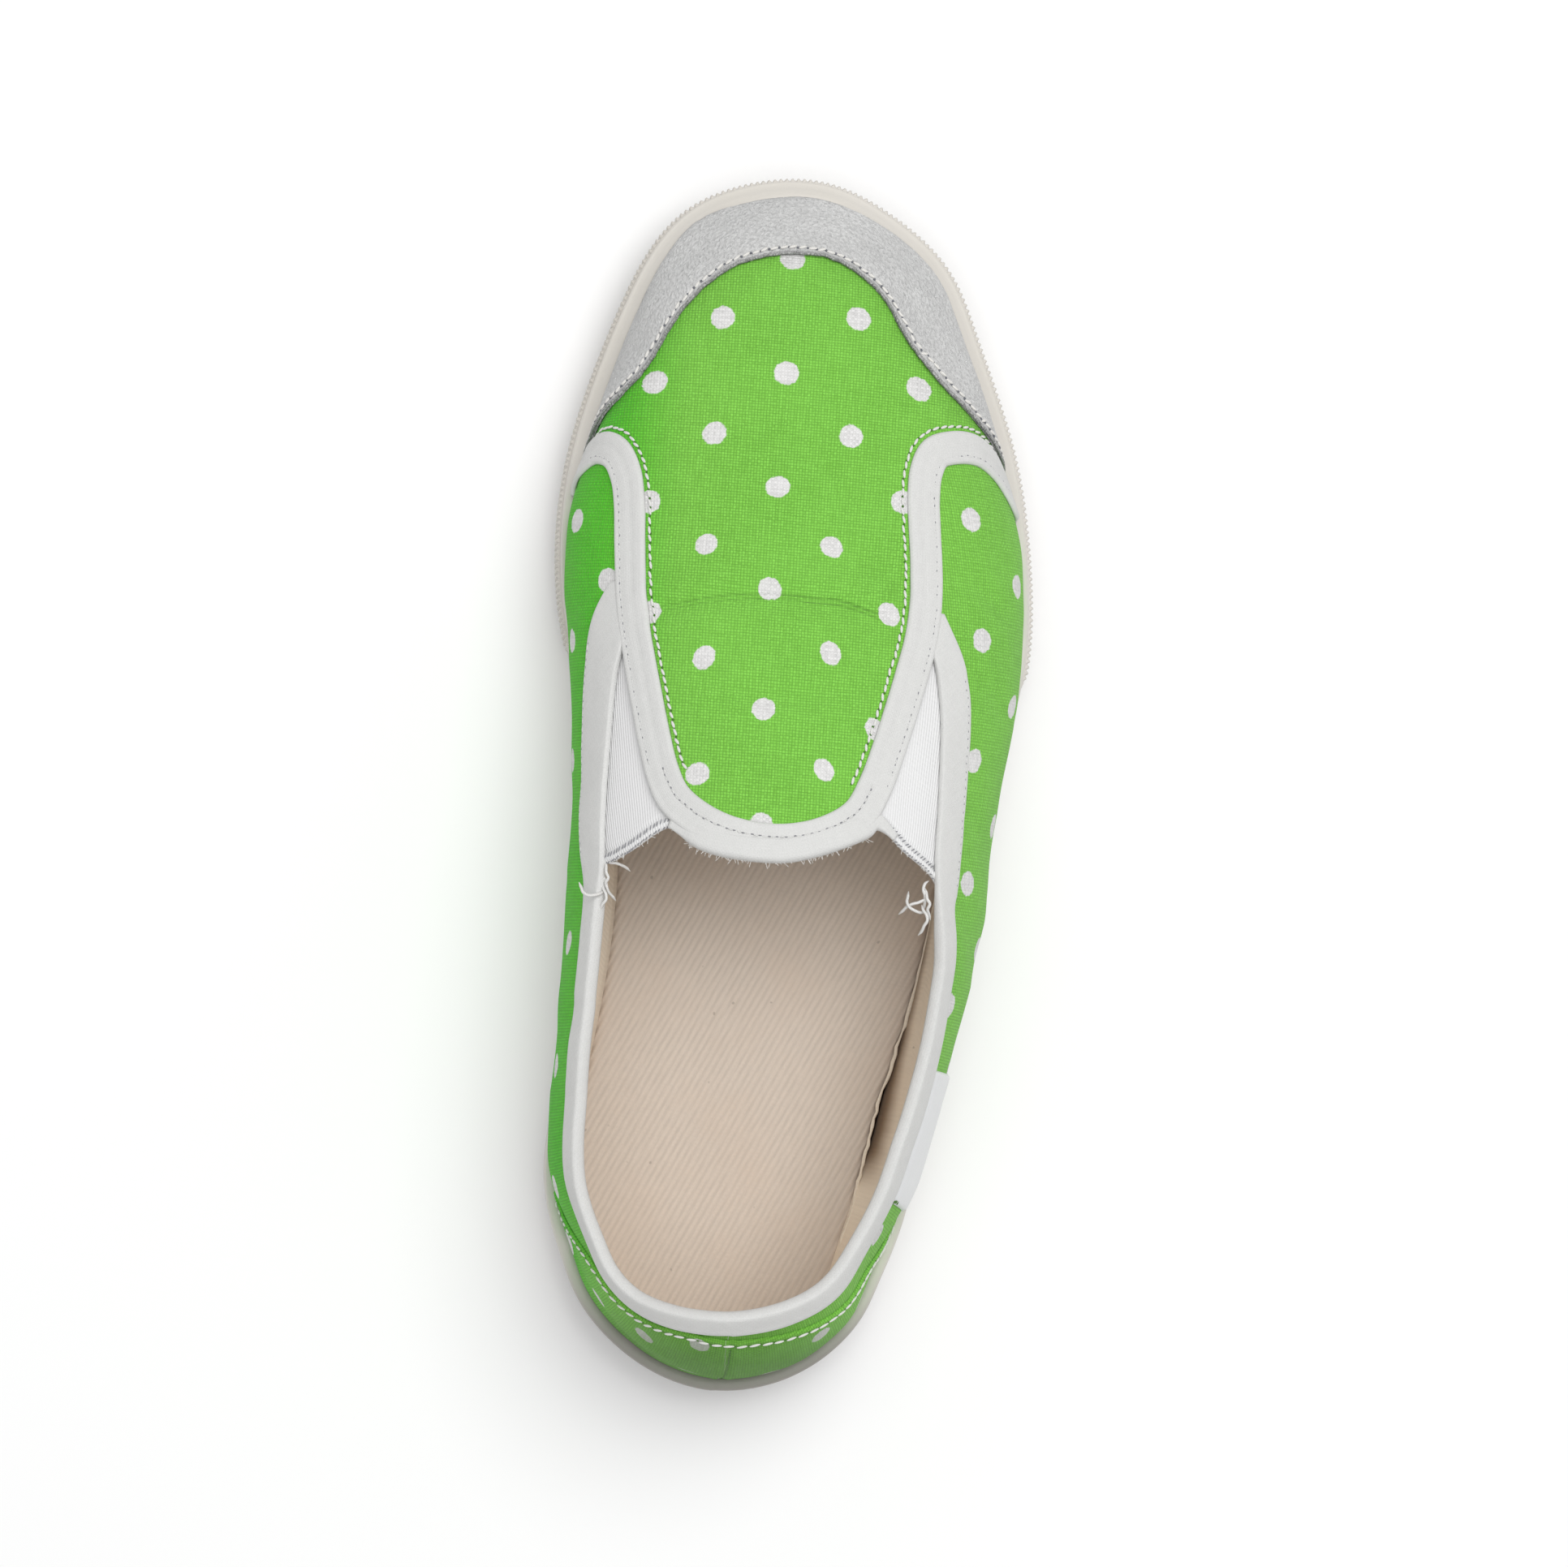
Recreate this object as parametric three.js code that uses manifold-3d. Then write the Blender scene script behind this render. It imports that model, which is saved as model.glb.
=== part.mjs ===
// Slip-on canvas shoe, right foot, empty and standing on its sole.
// Millimetres. +Y runs from the heel to the toe, +X to the outer side of the foot, +Z up.
import * as THREE from 'three';
import { mergeVertices } from 'three/addons/utils/BufferGeometryUtils.js';
import ManifoldModule from 'manifold-3d';

const wasm = await ManifoldModule();
wasm.setup();

// Driving sizes
const LAST_LENGTH = 239.5; // feather line, back of heel to tip of toe
const LAST_WIDTH = 92; // feather line across the ball
const INSTEP_HEIGHT = 78; // ridge of the last at the throat, above the floor
const QUARTER_BULGE = 8.2; // how far the sides stand out past the feather line at the waist
const BULGE_RISE = 15; // height of the widest line above the foxing, at the waist
const WALL = 1.6; // canvas and lining together
const GAP = 0.3; // between pieces that meet

// Sole sizes
const FOXING_HEIGHT = 24; // at the heel
const FOXING_OUT = 3; // outer face past the feather line
const FOXING_OUT_TOE = 2.2; // the same under the toe bumper
const FOXING_EDGE = 0.8; // rounding of the top edge
const BUMPER_OUT = 3.5;
const BUMPER_DROP = 4; // below the top of the foxing
const BUMPER_FROM = 0.6; // share of LAST_LENGTH where the bumper starts on both sides
const OUTSOLE_LIP = 1.2; // thickness of the rim below the foxing
const OUTSOLE_LIP_OUT = 2.7;
const TOE_SPRING = 5.5;
const SPRING_FROM = 0.78; // share of LAST_LENGTH where the toe starts to lift
const ARCH_LIFT = 1.3;
const PLATFORM_HEEL = 10.5; // top of the outsole under the heel
const PLATFORM_BALL = 8.5;
const INSOLE_THICK = 4;
const INSOLE_CLEAR = 0.5; // insole's edge to the lining
const INSOLE_SHORT = 4.6; // extra gap where the insole is cut short, outer side of the heel
const GROOVE_WIDTH = 1.6;
const GROOVE_DEPTH = 1.2;
const GROOVE_PITCH = 8;

// Cloth and trim sizes
const TAPE = 1; // thickness of folded tape
const TAPE_WIDTH = 7; // of the band round the vamp
const COLLAR_DROP = 6.7; // tape down the outside from the collar's edge
const COLLAR_TURN = 2.6; // tape down the inside
const THROAT_TURN = 4; // tape turned in under the throat
const CAP_THICK = 1.2;
const PATCH_THICK = 0.8; // heel counter and side tab

// The last in rows from heel to toe. along and ridge are shares of LAST_LENGTH, medial and
// lateral of LAST_WIDTH, bulges of QUARTER_BULGE, foxing of FOXING_HEIGHT, rise of BULGE_RISE.
// square is how boxy the section is: 2 is an ellipse.
const LAST_ROWS = table(
  ['along', 'medial', 'lateral', 'medialBulge', 'lateralBulge', 'ridge', 'foxing', 'rise', 'square'],
  [
    [0.000, 0.005, 0.005, 0.04, 0.04, 0.175, 1.00, 0.65, 2.30],
    [0.018, -0.157, 0.168, 0.05, 0.06, 0.180, 1.00, 0.65, 2.30],
    [0.056, -0.271, 0.272, 0.12, 0.16, 0.192, 1.00, 0.67, 2.28],
    [0.095, -0.324, 0.316, 0.18, 0.12, 0.210, 0.99, 0.70, 2.26],
    [0.154, -0.370, 0.361, 0.27, 0.20, 0.235, 0.97, 0.78, 2.24],
    [0.233, -0.357, 0.380, 0.59, 0.53, 0.277, 0.95, 0.92, 2.22],
    [0.316, -0.329, 0.402, 0.88, 0.73, 0.335, 0.93, 1.00, 2.18],
    [0.400, -0.318, 0.429, 1.00, 0.79, 0.405, 0.91, 1.00, 2.10],
    [0.484, -0.335, 0.463, 0.91, 0.55, 0.484, 0.90, 0.92, 2.00],
    [0.567, -0.384, 0.521, 0.54, 0.20, 0.567, 0.89, 0.70, 1.98],
    [0.644, -0.438, 0.543, 0.24, 0.05, 0.644, 0.88, 0.50, 2.00],
    [0.726, -0.452, 0.520, 0.10, 0.06, 0.722, 0.87, 0.36, 2.06],
    [0.805, -0.421, 0.468, 0.06, 0.05, 0.793, 0.85, 0.28, 2.14],
    [0.886, -0.358, 0.379, 0.05, 0.05, 0.856, 0.83, 0.24, 2.22],
    [0.943, -0.293, 0.298, 0.05, 0.05, 0.893, 0.82, 0.22, 2.28],
    [0.982, -0.187, 0.162, 0.05, 0.05, 0.918, 0.81, 0.22, 2.30],
    [1.000, 0.000, 0.000, 0.05, 0.05, 0.926, 0.81, 0.22, 2.30],
  ],
);

// The ridge seen from the side: height as a share of INSTEP_HEIGHT.
const RIDGE_HEIGHT = table(['along', 'height'], [
  [0.000, 1.000], [0.170, 1.025], [0.330, 1.025], [0.420, 1.012], [0.450, 0.990],
  [0.505, 0.925], [0.567, 0.853], [0.644, 0.770], [0.726, 0.692], [0.805, 0.628],
  [0.868, 0.580], [0.926, 0.520], [0.970, 0.460], [1.020, 0.380],
]);

// The ridge seen from above: distance from the heel-to-toe line as a share of LAST_WIDTH.
const RIDGE_LINE = table(['along', 'across'], [
  [0.00, -0.010], [0.20, -0.006], [0.44, 0.010], [0.55, 0.000],
  [0.65, -0.012], [0.80, -0.010], [0.93, 0.000], [1.02, 0.000],
]);

// The upper's free edge, heel, inner side, throat, outer side. side is -1 inner and 1 outer.
// along picks the rib of the last; girth runs from 0 on the ridge to 1 on the widest line.
const COLLAR_EDGE = table(['side', 'along', 'girth'], [
  [-1, 0.001, 0.430], [-1, 0.020, 0.500], [-1, 0.045, 0.575], [-1, 0.070, 0.615], [-1, 0.107, 0.638],
  [-1, 0.147, 0.642], [-1, 0.190, 0.636], [-1, 0.235, 0.630], [-1, 0.290, 0.626], [-1, 0.340, 0.626],
  [-1, 0.385, 0.624], [-1, 0.412, 0.606], [-1, 0.433, 0.470], [-1, 0.452, 0.335], [-1, 0.449, 0.305],
  [-1, 0.438, 0.215], [-1, 0.432, 0.110], [1, 0.431, 0.020], [1, 0.436, 0.085], [1, 0.447, 0.175],
  [1, 0.460, 0.262], [1, 0.466, 0.290], [1, 0.447, 0.390], [1, 0.427, 0.500], [1, 0.404, 0.538],
  [1, 0.356, 0.556], [1, 0.314, 0.568], [1, 0.272, 0.574], [1, 0.228, 0.574], [1, 0.190, 0.582],
  [1, 0.147, 0.590], [1, 0.107, 0.575], [1, 0.070, 0.542], [1, 0.045, 0.508], [1, 0.020, 0.460],
]);

// Middle of the band's path, from the outer sidewall round the throat to the inner sidewall.
const BAND_PATH = table(['across', 'along'], [
  [0.560, 0.715], [0.510, 0.753], [0.460, 0.778], [0.410, 0.788], [0.352, 0.787], [0.312, 0.780],
  [0.294, 0.763], [0.292, 0.740], [0.298, 0.716], [0.307, 0.684], [0.311, 0.655], [0.305, 0.623],
  [0.290, 0.595], [0.272, 0.566], [0.248, 0.530], [0.222, 0.497], [0.189, 0.472], [0.130, 0.456],
  [0.060, 0.447], [-0.010, 0.445], [-0.085, 0.449], [-0.148, 0.459], [-0.200, 0.475], [-0.227, 0.496],
  [-0.248, 0.524], [-0.269, 0.556], [-0.290, 0.588], [-0.309, 0.620], [-0.321, 0.652], [-0.329, 0.684],
  [-0.337, 0.718], [-0.348, 0.742], [-0.372, 0.760], [-0.408, 0.766], [-0.444, 0.757], [-0.480, 0.735],
  [-0.520, 0.705],
]);

// Rear edge of the toe cap, inner sidewall to outer sidewall.
const CAP_EDGE = table(['across', 'along'], [
  [-0.540, 0.740], [-0.445, 0.776], [-0.422, 0.791], [-0.385, 0.806], [-0.333, 0.826], [-0.302, 0.846],
  [-0.275, 0.869], [-0.239, 0.891], [-0.196, 0.910], [-0.144, 0.925], [-0.070, 0.936], [0.000, 0.940],
  [0.050, 0.939], [0.100, 0.932], [0.145, 0.920], [0.181, 0.905], [0.212, 0.886], [0.244, 0.867],
  [0.297, 0.846], [0.361, 0.825], [0.427, 0.806], [0.474, 0.791], [0.560, 0.760],
]);

// Tape up the quarter's front edge beside each elastic: outer line up, inner line down.
const INNER_FRONT_TAPE = table(['across', 'along'], [
  [-0.371, 0.385], [-0.374, 0.412], [-0.385, 0.457], [-0.395, 0.517], [-0.400, 0.558], [-0.401, 0.598],
  [-0.391, 0.626], [-0.362, 0.652], [-0.325, 0.652], [-0.325, 0.606], [-0.337, 0.575], [-0.341, 0.516],
  [-0.339, 0.455], [-0.335, 0.412], [-0.337, 0.385],
]);
const OUTER_FRONT_TAPE = table(['across', 'along'], [
  [0.411, 0.385], [0.416, 0.416], [0.422, 0.495], [0.422, 0.556], [0.413, 0.588], [0.392, 0.616],
  [0.371, 0.632], [0.345, 0.650], [0.325, 0.645], [0.330, 0.618], [0.347, 0.592], [0.361, 0.555],
  [0.366, 0.495], [0.369, 0.423], [0.366, 0.385],
]);

// Openings in the upper that the elastics fill; they run on past the collar's edge.
const INNER_ELASTIC = table(['across', 'along'], [
  [-0.140, 0.425], [-0.205, 0.468], [-0.250, 0.515], [-0.288, 0.565], [-0.315, 0.603], [-0.338, 0.622],
  [-0.356, 0.600], [-0.362, 0.558], [-0.360, 0.515], [-0.357, 0.455], [-0.352, 0.400], [-0.250, 0.350],
]);
const OUTER_ELASTIC = table(['across', 'along'], [
  [0.160, 0.420], [0.222, 0.482], [0.240, 0.512], [0.275, 0.556], [0.308, 0.598], [0.338, 0.626],
  [0.364, 0.595], [0.379, 0.555], [0.385, 0.495], [0.387, 0.415], [0.270, 0.350],
]);

// Top edge of the heel counter seen from the side; height is a share of INSTEP_HEIGHT.
const COUNTER_EDGE = table(['along', 'height'], [
  [-0.050, 0.850], [0.000, 0.845], [0.040, 0.800], [0.062, 0.740], [0.085, 0.650], [0.108, 0.545],
  [0.128, 0.430], [0.145, 0.300], [0.150, 0.150],
]);

// Side tab under the collar tape on the outer side, near the heel
const TAB_FROM = 0.152; // shares of LAST_LENGTH
const TAB_TO = 0.266;
const TAB_BOTTOM = 40; // above the floor

// How far the insole is cut short on the outer side, as a share of INSOLE_SHORT
const INSOLE_CUT = table(['along', 'share'], [
  [0.00, 0.00], [0.05, 0.10], [0.10, 0.45], [0.15, 0.85], [0.22, 1.00], [0.30, 0.90],
  [0.36, 0.55], [0.42, 0.20], [0.50, 0.00], [0.70, 0.00], [1.00, 0.00],
]);

// Rows of points down each rib of the last: 0 ridge, 1 widest line, 1.5 feather line
const GIRTHS = [0, 0.17, 0.34, 0.5, 0.65, 0.79, 0.91, 1, 1.2, 1.5];
const RIBS_PER_ROW = 2;
const TOP = 120; // above everything
const ABOVE_BULGE = 0.47 * INSTEP_HEIGHT; // cuts from above stop here where the side tucks in below
const COLLAR_SAMPLES = 44;
const PATH_SAMPLES = 1.5; // for each row of a seam table

function table(columns, rows) {
  return rows.map((row) => Object.fromEntries(columns.map((name, i) => [name, row[i]])));
}

// Natural cubic spline through the points (xs, ys).
function cubicThrough(xs, ys) {
  const last = xs.length - 1;
  const bend = new Array(xs.length).fill(0);
  const carry = new Array(xs.length).fill(0);
  for (let i = 1; i < last; i++) {
    const span = xs[i + 1] - xs[i - 1];
    const share = (xs[i] - xs[i - 1]) / span;
    const pivot = share * bend[i - 1] + 2;
    const turn = (ys[i + 1] - ys[i]) / (xs[i + 1] - xs[i]) - (ys[i] - ys[i - 1]) / (xs[i] - xs[i - 1]);
    bend[i] = (share - 1) / pivot;
    carry[i] = ((6 * turn) / span - share * carry[i - 1]) / pivot;
  }
  bend[last] = 0;
  for (let i = last - 1; i >= 0; i--) bend[i] = bend[i] * bend[i + 1] + carry[i];
  return (x) => {
    let i = 0;
    while (i < last - 1 && x > xs[i + 1]) i++;
    const span = xs[i + 1] - xs[i];
    const a = (xs[i + 1] - x) / span;
    const b = (x - xs[i]) / span;
    const curve = (a ** 3 - a) * bend[i] + (b ** 3 - b) * bend[i + 1];
    return a * ys[i] + b * ys[i + 1] + (curve * span * span) / 6;
  };
}

const column = (rows, name) => rows.map((row) => row[name]);
const curveOf = (rows, from, to) => cubicThrough(column(rows, from), column(rows, to));

// Stations run round the last: 0 at the heel, TOE_STATION at the toe by the inner side, and on
// round the outer side back to the heel at LOOP.
const TOE_STATION = LAST_ROWS.length - 1;
const LOOP = 2 * TOE_STATION;
const WRAP = 6;

function roundTheLast(inner, outer) {
  const back = LAST_ROWS.slice(1, TOE_STATION).reverse();
  const values = [...column(LAST_ROWS, inner), ...column(back, outer)];
  const stations = [];
  const wrapped = [];
  for (let k = -WRAP; k <= LOOP + WRAP; k++) {
    stations.push(k);
    wrapped.push(values[(k + LOOP) % LOOP]);
  }
  const curve = cubicThrough(stations, wrapped);
  return (station) => curve(((station % LOOP) + LOOP) % LOOP);
}

const alongAt = roundTheLast('along', 'along');
const acrossAt = roundTheLast('medial', 'lateral');
const bulgeAt = roundTheLast('medialBulge', 'lateralBulge');
const ridgeAt = roundTheLast('ridge', 'ridge');
const foxingAt = roundTheLast('foxing', 'foxing');
const riseAt = roundTheLast('rise', 'rise');
const squareAt = roundTheLast('square', 'square');
const ridgeHeight = curveOf(RIDGE_HEIGHT, 'along', 'height');
const ridgeAcross = curveOf(RIDGE_LINE, 'along', 'across');
const insoleCut = curveOf(INSOLE_CUT, 'along', 'share');

const mirrored = (station) => (station <= TOE_STATION ? station : LOOP - station);
const plan = (station) => {
  const point = new THREE.Vector2(acrossAt(station) * LAST_WIDTH, alongAt(station) * LAST_LENGTH);
  return point;
};

// Unit vector square to the feather line, away from the foot.
function outward(station) {
  const step = plan(station + 1e-3).sub(plan(station - 1e-3));
  return new THREE.Vector2(-step.y, step.x).normalize();
}

const feather = (station, offset = 0) => plan(station).addScaledVector(outward(station), offset);

function toeLift(y) {
  const t = Math.max(0, (y / LAST_LENGTH - SPRING_FROM) / (1 - SPRING_FROM));
  return TOE_SPRING * t * t;
}

// Underside of the sole: flat under heel and forefoot, raised under the arch, lifted at the toe.
function underside(y) {
  const t = THREE.MathUtils.clamp((y / LAST_LENGTH - 0.32) / 0.26, 0, 1);
  return ARCH_LIFT * Math.sin(Math.PI * t) ** 2 + toeLift(y);
}

function platform(y) {
  const t = THREE.MathUtils.smoothstep(y / LAST_LENGTH, 0.28, 0.66);
  return THREE.MathUtils.lerp(PLATFORM_HEEL, PLATFORM_BALL, t) + toeLift(y);
}

const foxingTop = (station) => FOXING_HEIGHT * foxingAt(station) + toeLift(plan(station).y);

// Point of the last at a station and girth.
function lastPoint(station, girth) {
  const s = ((station % LOOP) + LOOP) % LOOP;
  const foot = feather(s);
  const wide = feather(s, bulgeAt(s) * QUARTER_BULGE);
  const low = foxingTop(s);
  const wideHeight = low + riseAt(s) * BULGE_RISE;
  if (girth > 1) {
    const drop = Math.min(1, (girth - 1) * 2);
    const at = foot.lerp(wide, Math.cos((drop * Math.PI) / 2));
    return new THREE.Vector3(at.x, at.y, THREE.MathUtils.lerp(wideHeight, low, drop));
  }
  const ridgeY = ridgeAt(mirrored(s));
  const ridge = new THREE.Vector2(ridgeAcross(ridgeY) * LAST_WIDTH, ridgeY * LAST_LENGTH);
  const angle = (Math.max(0, girth) * Math.PI) / 2;
  const at = ridge.lerp(wide, Math.sin(angle) ** (2 / squareAt(s)));
  const height = ridgeHeight(at.y / LAST_LENGTH) * INSTEP_HEIGHT;
  return new THREE.Vector3(at.x, at.y, THREE.MathUtils.lerp(wideHeight, height, Math.cos(angle)));
}

// Outward unit normal of the last. On the ridge both sides share one normal.
function lastNormal(station, girth) {
  if (girth >= 1.5) return new THREE.Vector3(...outward(station), 0);
  const ds = 0.05;
  const dg = 0.02;
  if (girth < dg) {
    const s = mirrored(((station % LOOP) + LOOP) % LOOP);
    const across = lastPoint(LOOP - s, 0.1).sub(lastPoint(s, 0.1));
    const lengthwise = lastPoint(Math.min(TOE_STATION, s + ds), 0).sub(lastPoint(Math.max(0, s - ds), 0));
    if (across.length() < 1) across.set(1, 0, 0);
    if (s < 1 || s > TOE_STATION - 1) {
      across.set(1, 0, 0);
    }
    return across.cross(lengthwise).normalize();
  }
  const along = lastPoint(station + ds, girth).sub(lastPoint(station - ds, girth));
  const down = lastPoint(station, Math.min(1.5, girth + dg)).sub(lastPoint(station, girth - dg));
  return along.cross(down).normalize();
}

// Station of the rib that starts at a share of the last's length on one side.
function stationAt(along, side) {
  let low = 0;
  let high = TOE_STATION;
  for (let k = 0; k < 40; k++) {
    const middle = (low + high) / 2;
    if (alongAt(middle) < along) low = middle;
    else high = middle;
  }
  return side < 0 ? low : LOOP - low;
}

// Nearest point of the last to a target, by a few least-squares steps from a first guess.
function settle(target, guess) {
  let { station, girth } = guess;
  for (let k = 0; k < 12; k++) {
    const here = lastPoint(station, girth);
    const ds = lastPoint(station + 0.02, girth).sub(here).multiplyScalar(50);
    const dg = lastPoint(station, girth + 0.01).sub(here).multiplyScalar(100);
    const miss = target.clone().sub(here);
    const a = ds.dot(ds);
    const b = ds.dot(dg);
    const c = dg.dot(dg);
    const det = a * c - b * b;
    const stepS = (c * ds.dot(miss) - b * dg.dot(miss)) / det;
    const stepG = (a * dg.dot(miss) - b * ds.dot(miss)) / det;
    station += THREE.MathUtils.clamp(stepS, -0.5, 0.5);
    girth += THREE.MathUtils.clamp(stepG, -0.1, 0.1);
    if (girth < 0) {
      girth = -girth;
      station = LOOP - station;
    }
    girth = THREE.MathUtils.clamp(girth, 0.005, 1.2);
  }
  return { station, girth, point: lastPoint(station, girth), normal: lastNormal(station, girth) };
}

// Triangles gathered into a closed solid.
class Skin {
  constructor() {
    this.corners = [];
  }

  triangle(...points) {
    for (const p of points) this.corners.push(p.x, p.y, p.z);
  }

  quad(a, b, c, d) {
    this.triangle(a, b, c);
    this.triangle(a, c, d);
  }

  solid() {
    const geometry = new THREE.BufferGeometry();
    geometry.setAttribute('position', new THREE.Float32BufferAttribute(this.corners, 3));
    return solidOf(geometry);
  }
}

function solidOf(geometry) {
  const bare = geometry.clone();
  bare.deleteAttribute('normal');
  bare.deleteAttribute('uv');
  const merged = mergeVertices(bare, 1e-3);
  const corners = merged.index.array;
  const kept = [];
  for (let i = 0; i < corners.length; i += 3) {
    const [a, b, c] = [corners[i], corners[i + 1], corners[i + 2]];
    if (a !== b && b !== c && c !== a) kept.push(a, b, c);
  }
  return new wasm.Manifold(new wasm.Mesh({
    numProp: 3,
    vertProperties: new Float32Array(merged.attributes.position.array),
    triVerts: new Uint32Array(kept),
  }));
}

function geometryOf(solid) {
  const mesh = solid.getMesh();
  const points = new Float32Array(mesh.numVert * 3);
  for (let i = 0; i < mesh.numVert; i++) {
    for (let k = 0; k < 3; k++) points[3 * i + k] = mesh.vertProperties[mesh.numProp * i + k];
  }
  const geometry = new THREE.BufferGeometry();
  geometry.setAttribute('position', new THREE.BufferAttribute(points, 3));
  geometry.setIndex(new THREE.BufferAttribute(new Uint32Array(mesh.triVerts), 1));
  geometry.computeVertexNormals();
  return geometry;
}

const STATIONS = Array.from({ length: LOOP * RIBS_PER_ROW }, (_, i) => i / RIBS_PER_ROW);
const NET = STATIONS.map((station) => GIRTHS.map((girth) => ({
  point: lastPoint(girth === 0 ? mirrored(station) : station, girth),
  normal: lastNormal(girth === 0 ? mirrored(station) : station, girth),
})));

// The last grown by offset, straight down from the feather line to just above the platform.
function grownLast(offset, below = 0) {
  const skin = new Skin();
  const count = STATIONS.length;
  const ribs = NET.map((rib, i) => {
    const points = rib.map(({ point, normal }) => point.clone().addScaledVector(normal, offset));
    const foot = feather(STATIONS[i], offset);
    points.push(new THREE.Vector3(foot.x, foot.y, platform(plan(STATIONS[i]).y) + GAP - below));
    return points;
  });
  for (let i = 0; i < count; i++) {
    const here = ribs[i];
    const next = ribs[(i + 1) % count];
    for (let j = 0; j < here.length - 1; j++) skin.quad(here[j], next[j], next[j + 1], here[j + 1]);
  }
  const foot = here => here[here.length - 1];
  for (let i = 0; i < count / 2; i++) {
    const inner = [foot(ribs[i]), foot(ribs[i + 1])];
    const outer = [foot(ribs[(count - i) % count]), foot(ribs[count - i - 1])];
    skin.quad(inner[0], inner[1], outer[1], outer[0]);
  }
  return skin.solid();
}

const shell = (from, to) => grownLast(to).subtract(grownLast(from, 5));

// A closed section carried round the sole, whole or from one station to another.
// The section's points go round clockwise, with x outwards from the feather line.
function carriedRound(sectionAt, from = 0, to = LOOP) {
  const whole = to - from === LOOP;
  const count = Math.round((to - from) * RIBS_PER_ROW);
  const rings = [];
  for (let i = 0; i <= count; i++) {
    const station = from + ((to - from) * i) / count;
    rings.push(sectionAt(station).map(([x, z]) => {
      const at = feather(station, x);
      return new THREE.Vector3(at.x, at.y, z);
    }));
  }
  const skin = new Skin();
  for (let i = 0; i < count; i++) {
    const here = rings[i];
    const next = whole ? rings[(i + 1) % count] : rings[i + 1];
    here.forEach((point, k) => {
      const below = (k + 1) % here.length;
      skin.quad(point, next[k], next[below], here[below]);
    });
  }
  if (!whole) {
    for (let k = 1; k < rings[0].length - 1; k++) {
      skin.triangle(rings[0][0], rings[0][k], rings[0][k + 1]);
      skin.triangle(rings[count][0], rings[count][k + 1], rings[count][k]);
    }
  }
  return skin.solid();
}

// A slab whose rim steps through [offset, height] pairs from the top down. Each is (station) => [x, z].
function slab(rimAt, step = 0.5) {
  const count = LOOP / step;
  const ribs = Array.from({ length: count }, (_, i) => rimAt(i * step).map(([x, z]) => {
    const at = feather(i * step, x);
    return new THREE.Vector3(at.x, at.y, z);
  }));
  const skin = new Skin();
  for (let i = 0; i < count; i++) {
    const here = ribs[i];
    const next = ribs[(i + 1) % count];
    for (let j = 0; j < here.length - 1; j++) skin.quad(here[j], next[j], next[j + 1], here[j + 1]);
  }
  const foot = ribs[0].length - 1;
  for (let i = 0; i < count / 2; i++) {
    const across = [ribs[i], ribs[i + 1], ribs[count - i - 1], ribs[(count - i) % count]];
    skin.quad(across[3][0], across[2][0], across[1][0], across[0][0]);
    skin.quad(...across.map((rib) => rib[foot]));
  }
  return skin.solid();
}

// Upright block over a closed outline seen from above.
function upright(points, from = 0, to = TOP) {
  const shape = new THREE.Shape(points);
  const geometry = new THREE.ExtrudeGeometry(shape, { depth: to - from, bevelEnabled: false });
  return solidOf(geometry.translate(0, 0, from));
}

const onPlan = (rows) => rows.map((row) => new THREE.Vector2(row.across * LAST_WIDTH, row.along * LAST_LENGTH));

// Outline grown or shrunk by moving each point along its own square direction.
function grown(points, by) {
  const turn = Math.sign(THREE.ShapeUtils.area(points));
  return points.map((point, i) => {
    const before = points[(i + points.length - 1) % points.length];
    const after = points[(i + 1) % points.length];
    const run = after.clone().sub(before).normalize();
    return new THREE.Vector2(point.x + run.y * by * turn, point.y - run.x * by * turn);
  });
}

// Block over a ribbon of a given width along a path seen from above.
function ribbon(rows, width) {
  const curve = new THREE.SplineCurve(onPlan(rows));
  const left = [];
  const right = [];
  const count = Math.round(PATH_SAMPLES * rows.length);
  for (let i = 0; i <= count; i++) {
    const at = curve.getPoint(i / count);
    const run = curve.getTangent(i / count);
    left.push(new THREE.Vector2(at.x - (run.y * width) / 2, at.y + (run.x * width) / 2));
    right.push(new THREE.Vector2(at.x + (run.y * width) / 2, at.y - (run.x * width) / 2));
  }
  return upright([...left, ...right.reverse()]);
}

// Block that stands across the shoe over an outline of [y, z] points seen from the side.
function sideways(points, from, to) {
  const shape = new THREE.Shape(points.map(([y, z]) => new THREE.Vector2(y, z)));
  const geometry = new THREE.ExtrudeGeometry(shape, { depth: to - from, bevelEnabled: false });
  geometry.applyMatrix4(new THREE.Matrix4().makeBasis(
    new THREE.Vector3(0, 1, 0), new THREE.Vector3(0, 0, 1), new THREE.Vector3(1, 0, 0),
  ));
  return solidOf(geometry.translate(from, 0, 0));
}

// The collar's edge as settled points of the last with the direction up across the edge.
function collarPath() {
  const knots = COLLAR_EDGE.map((row) => lastPoint(stationAt(row.along, row.side), row.girth));
  const curve = new THREE.CatmullRomCurve3(knots, true, 'centripetal');
  return Array.from({ length: COLLAR_SAMPLES }, (_, i) => {
    const t = i / COLLAR_SAMPLES;
    const row = COLLAR_EDGE[Math.floor(t * COLLAR_EDGE.length)];
    const guess = { station: stationAt(row.along, row.side), girth: row.girth };
    const seat = settle(curve.getPoint(t), guess);
    return { ...seat, up: curve.getTangent(t).cross(seat.normal).normalize() };
  });
}

const COLLAR = collarPath();

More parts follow.
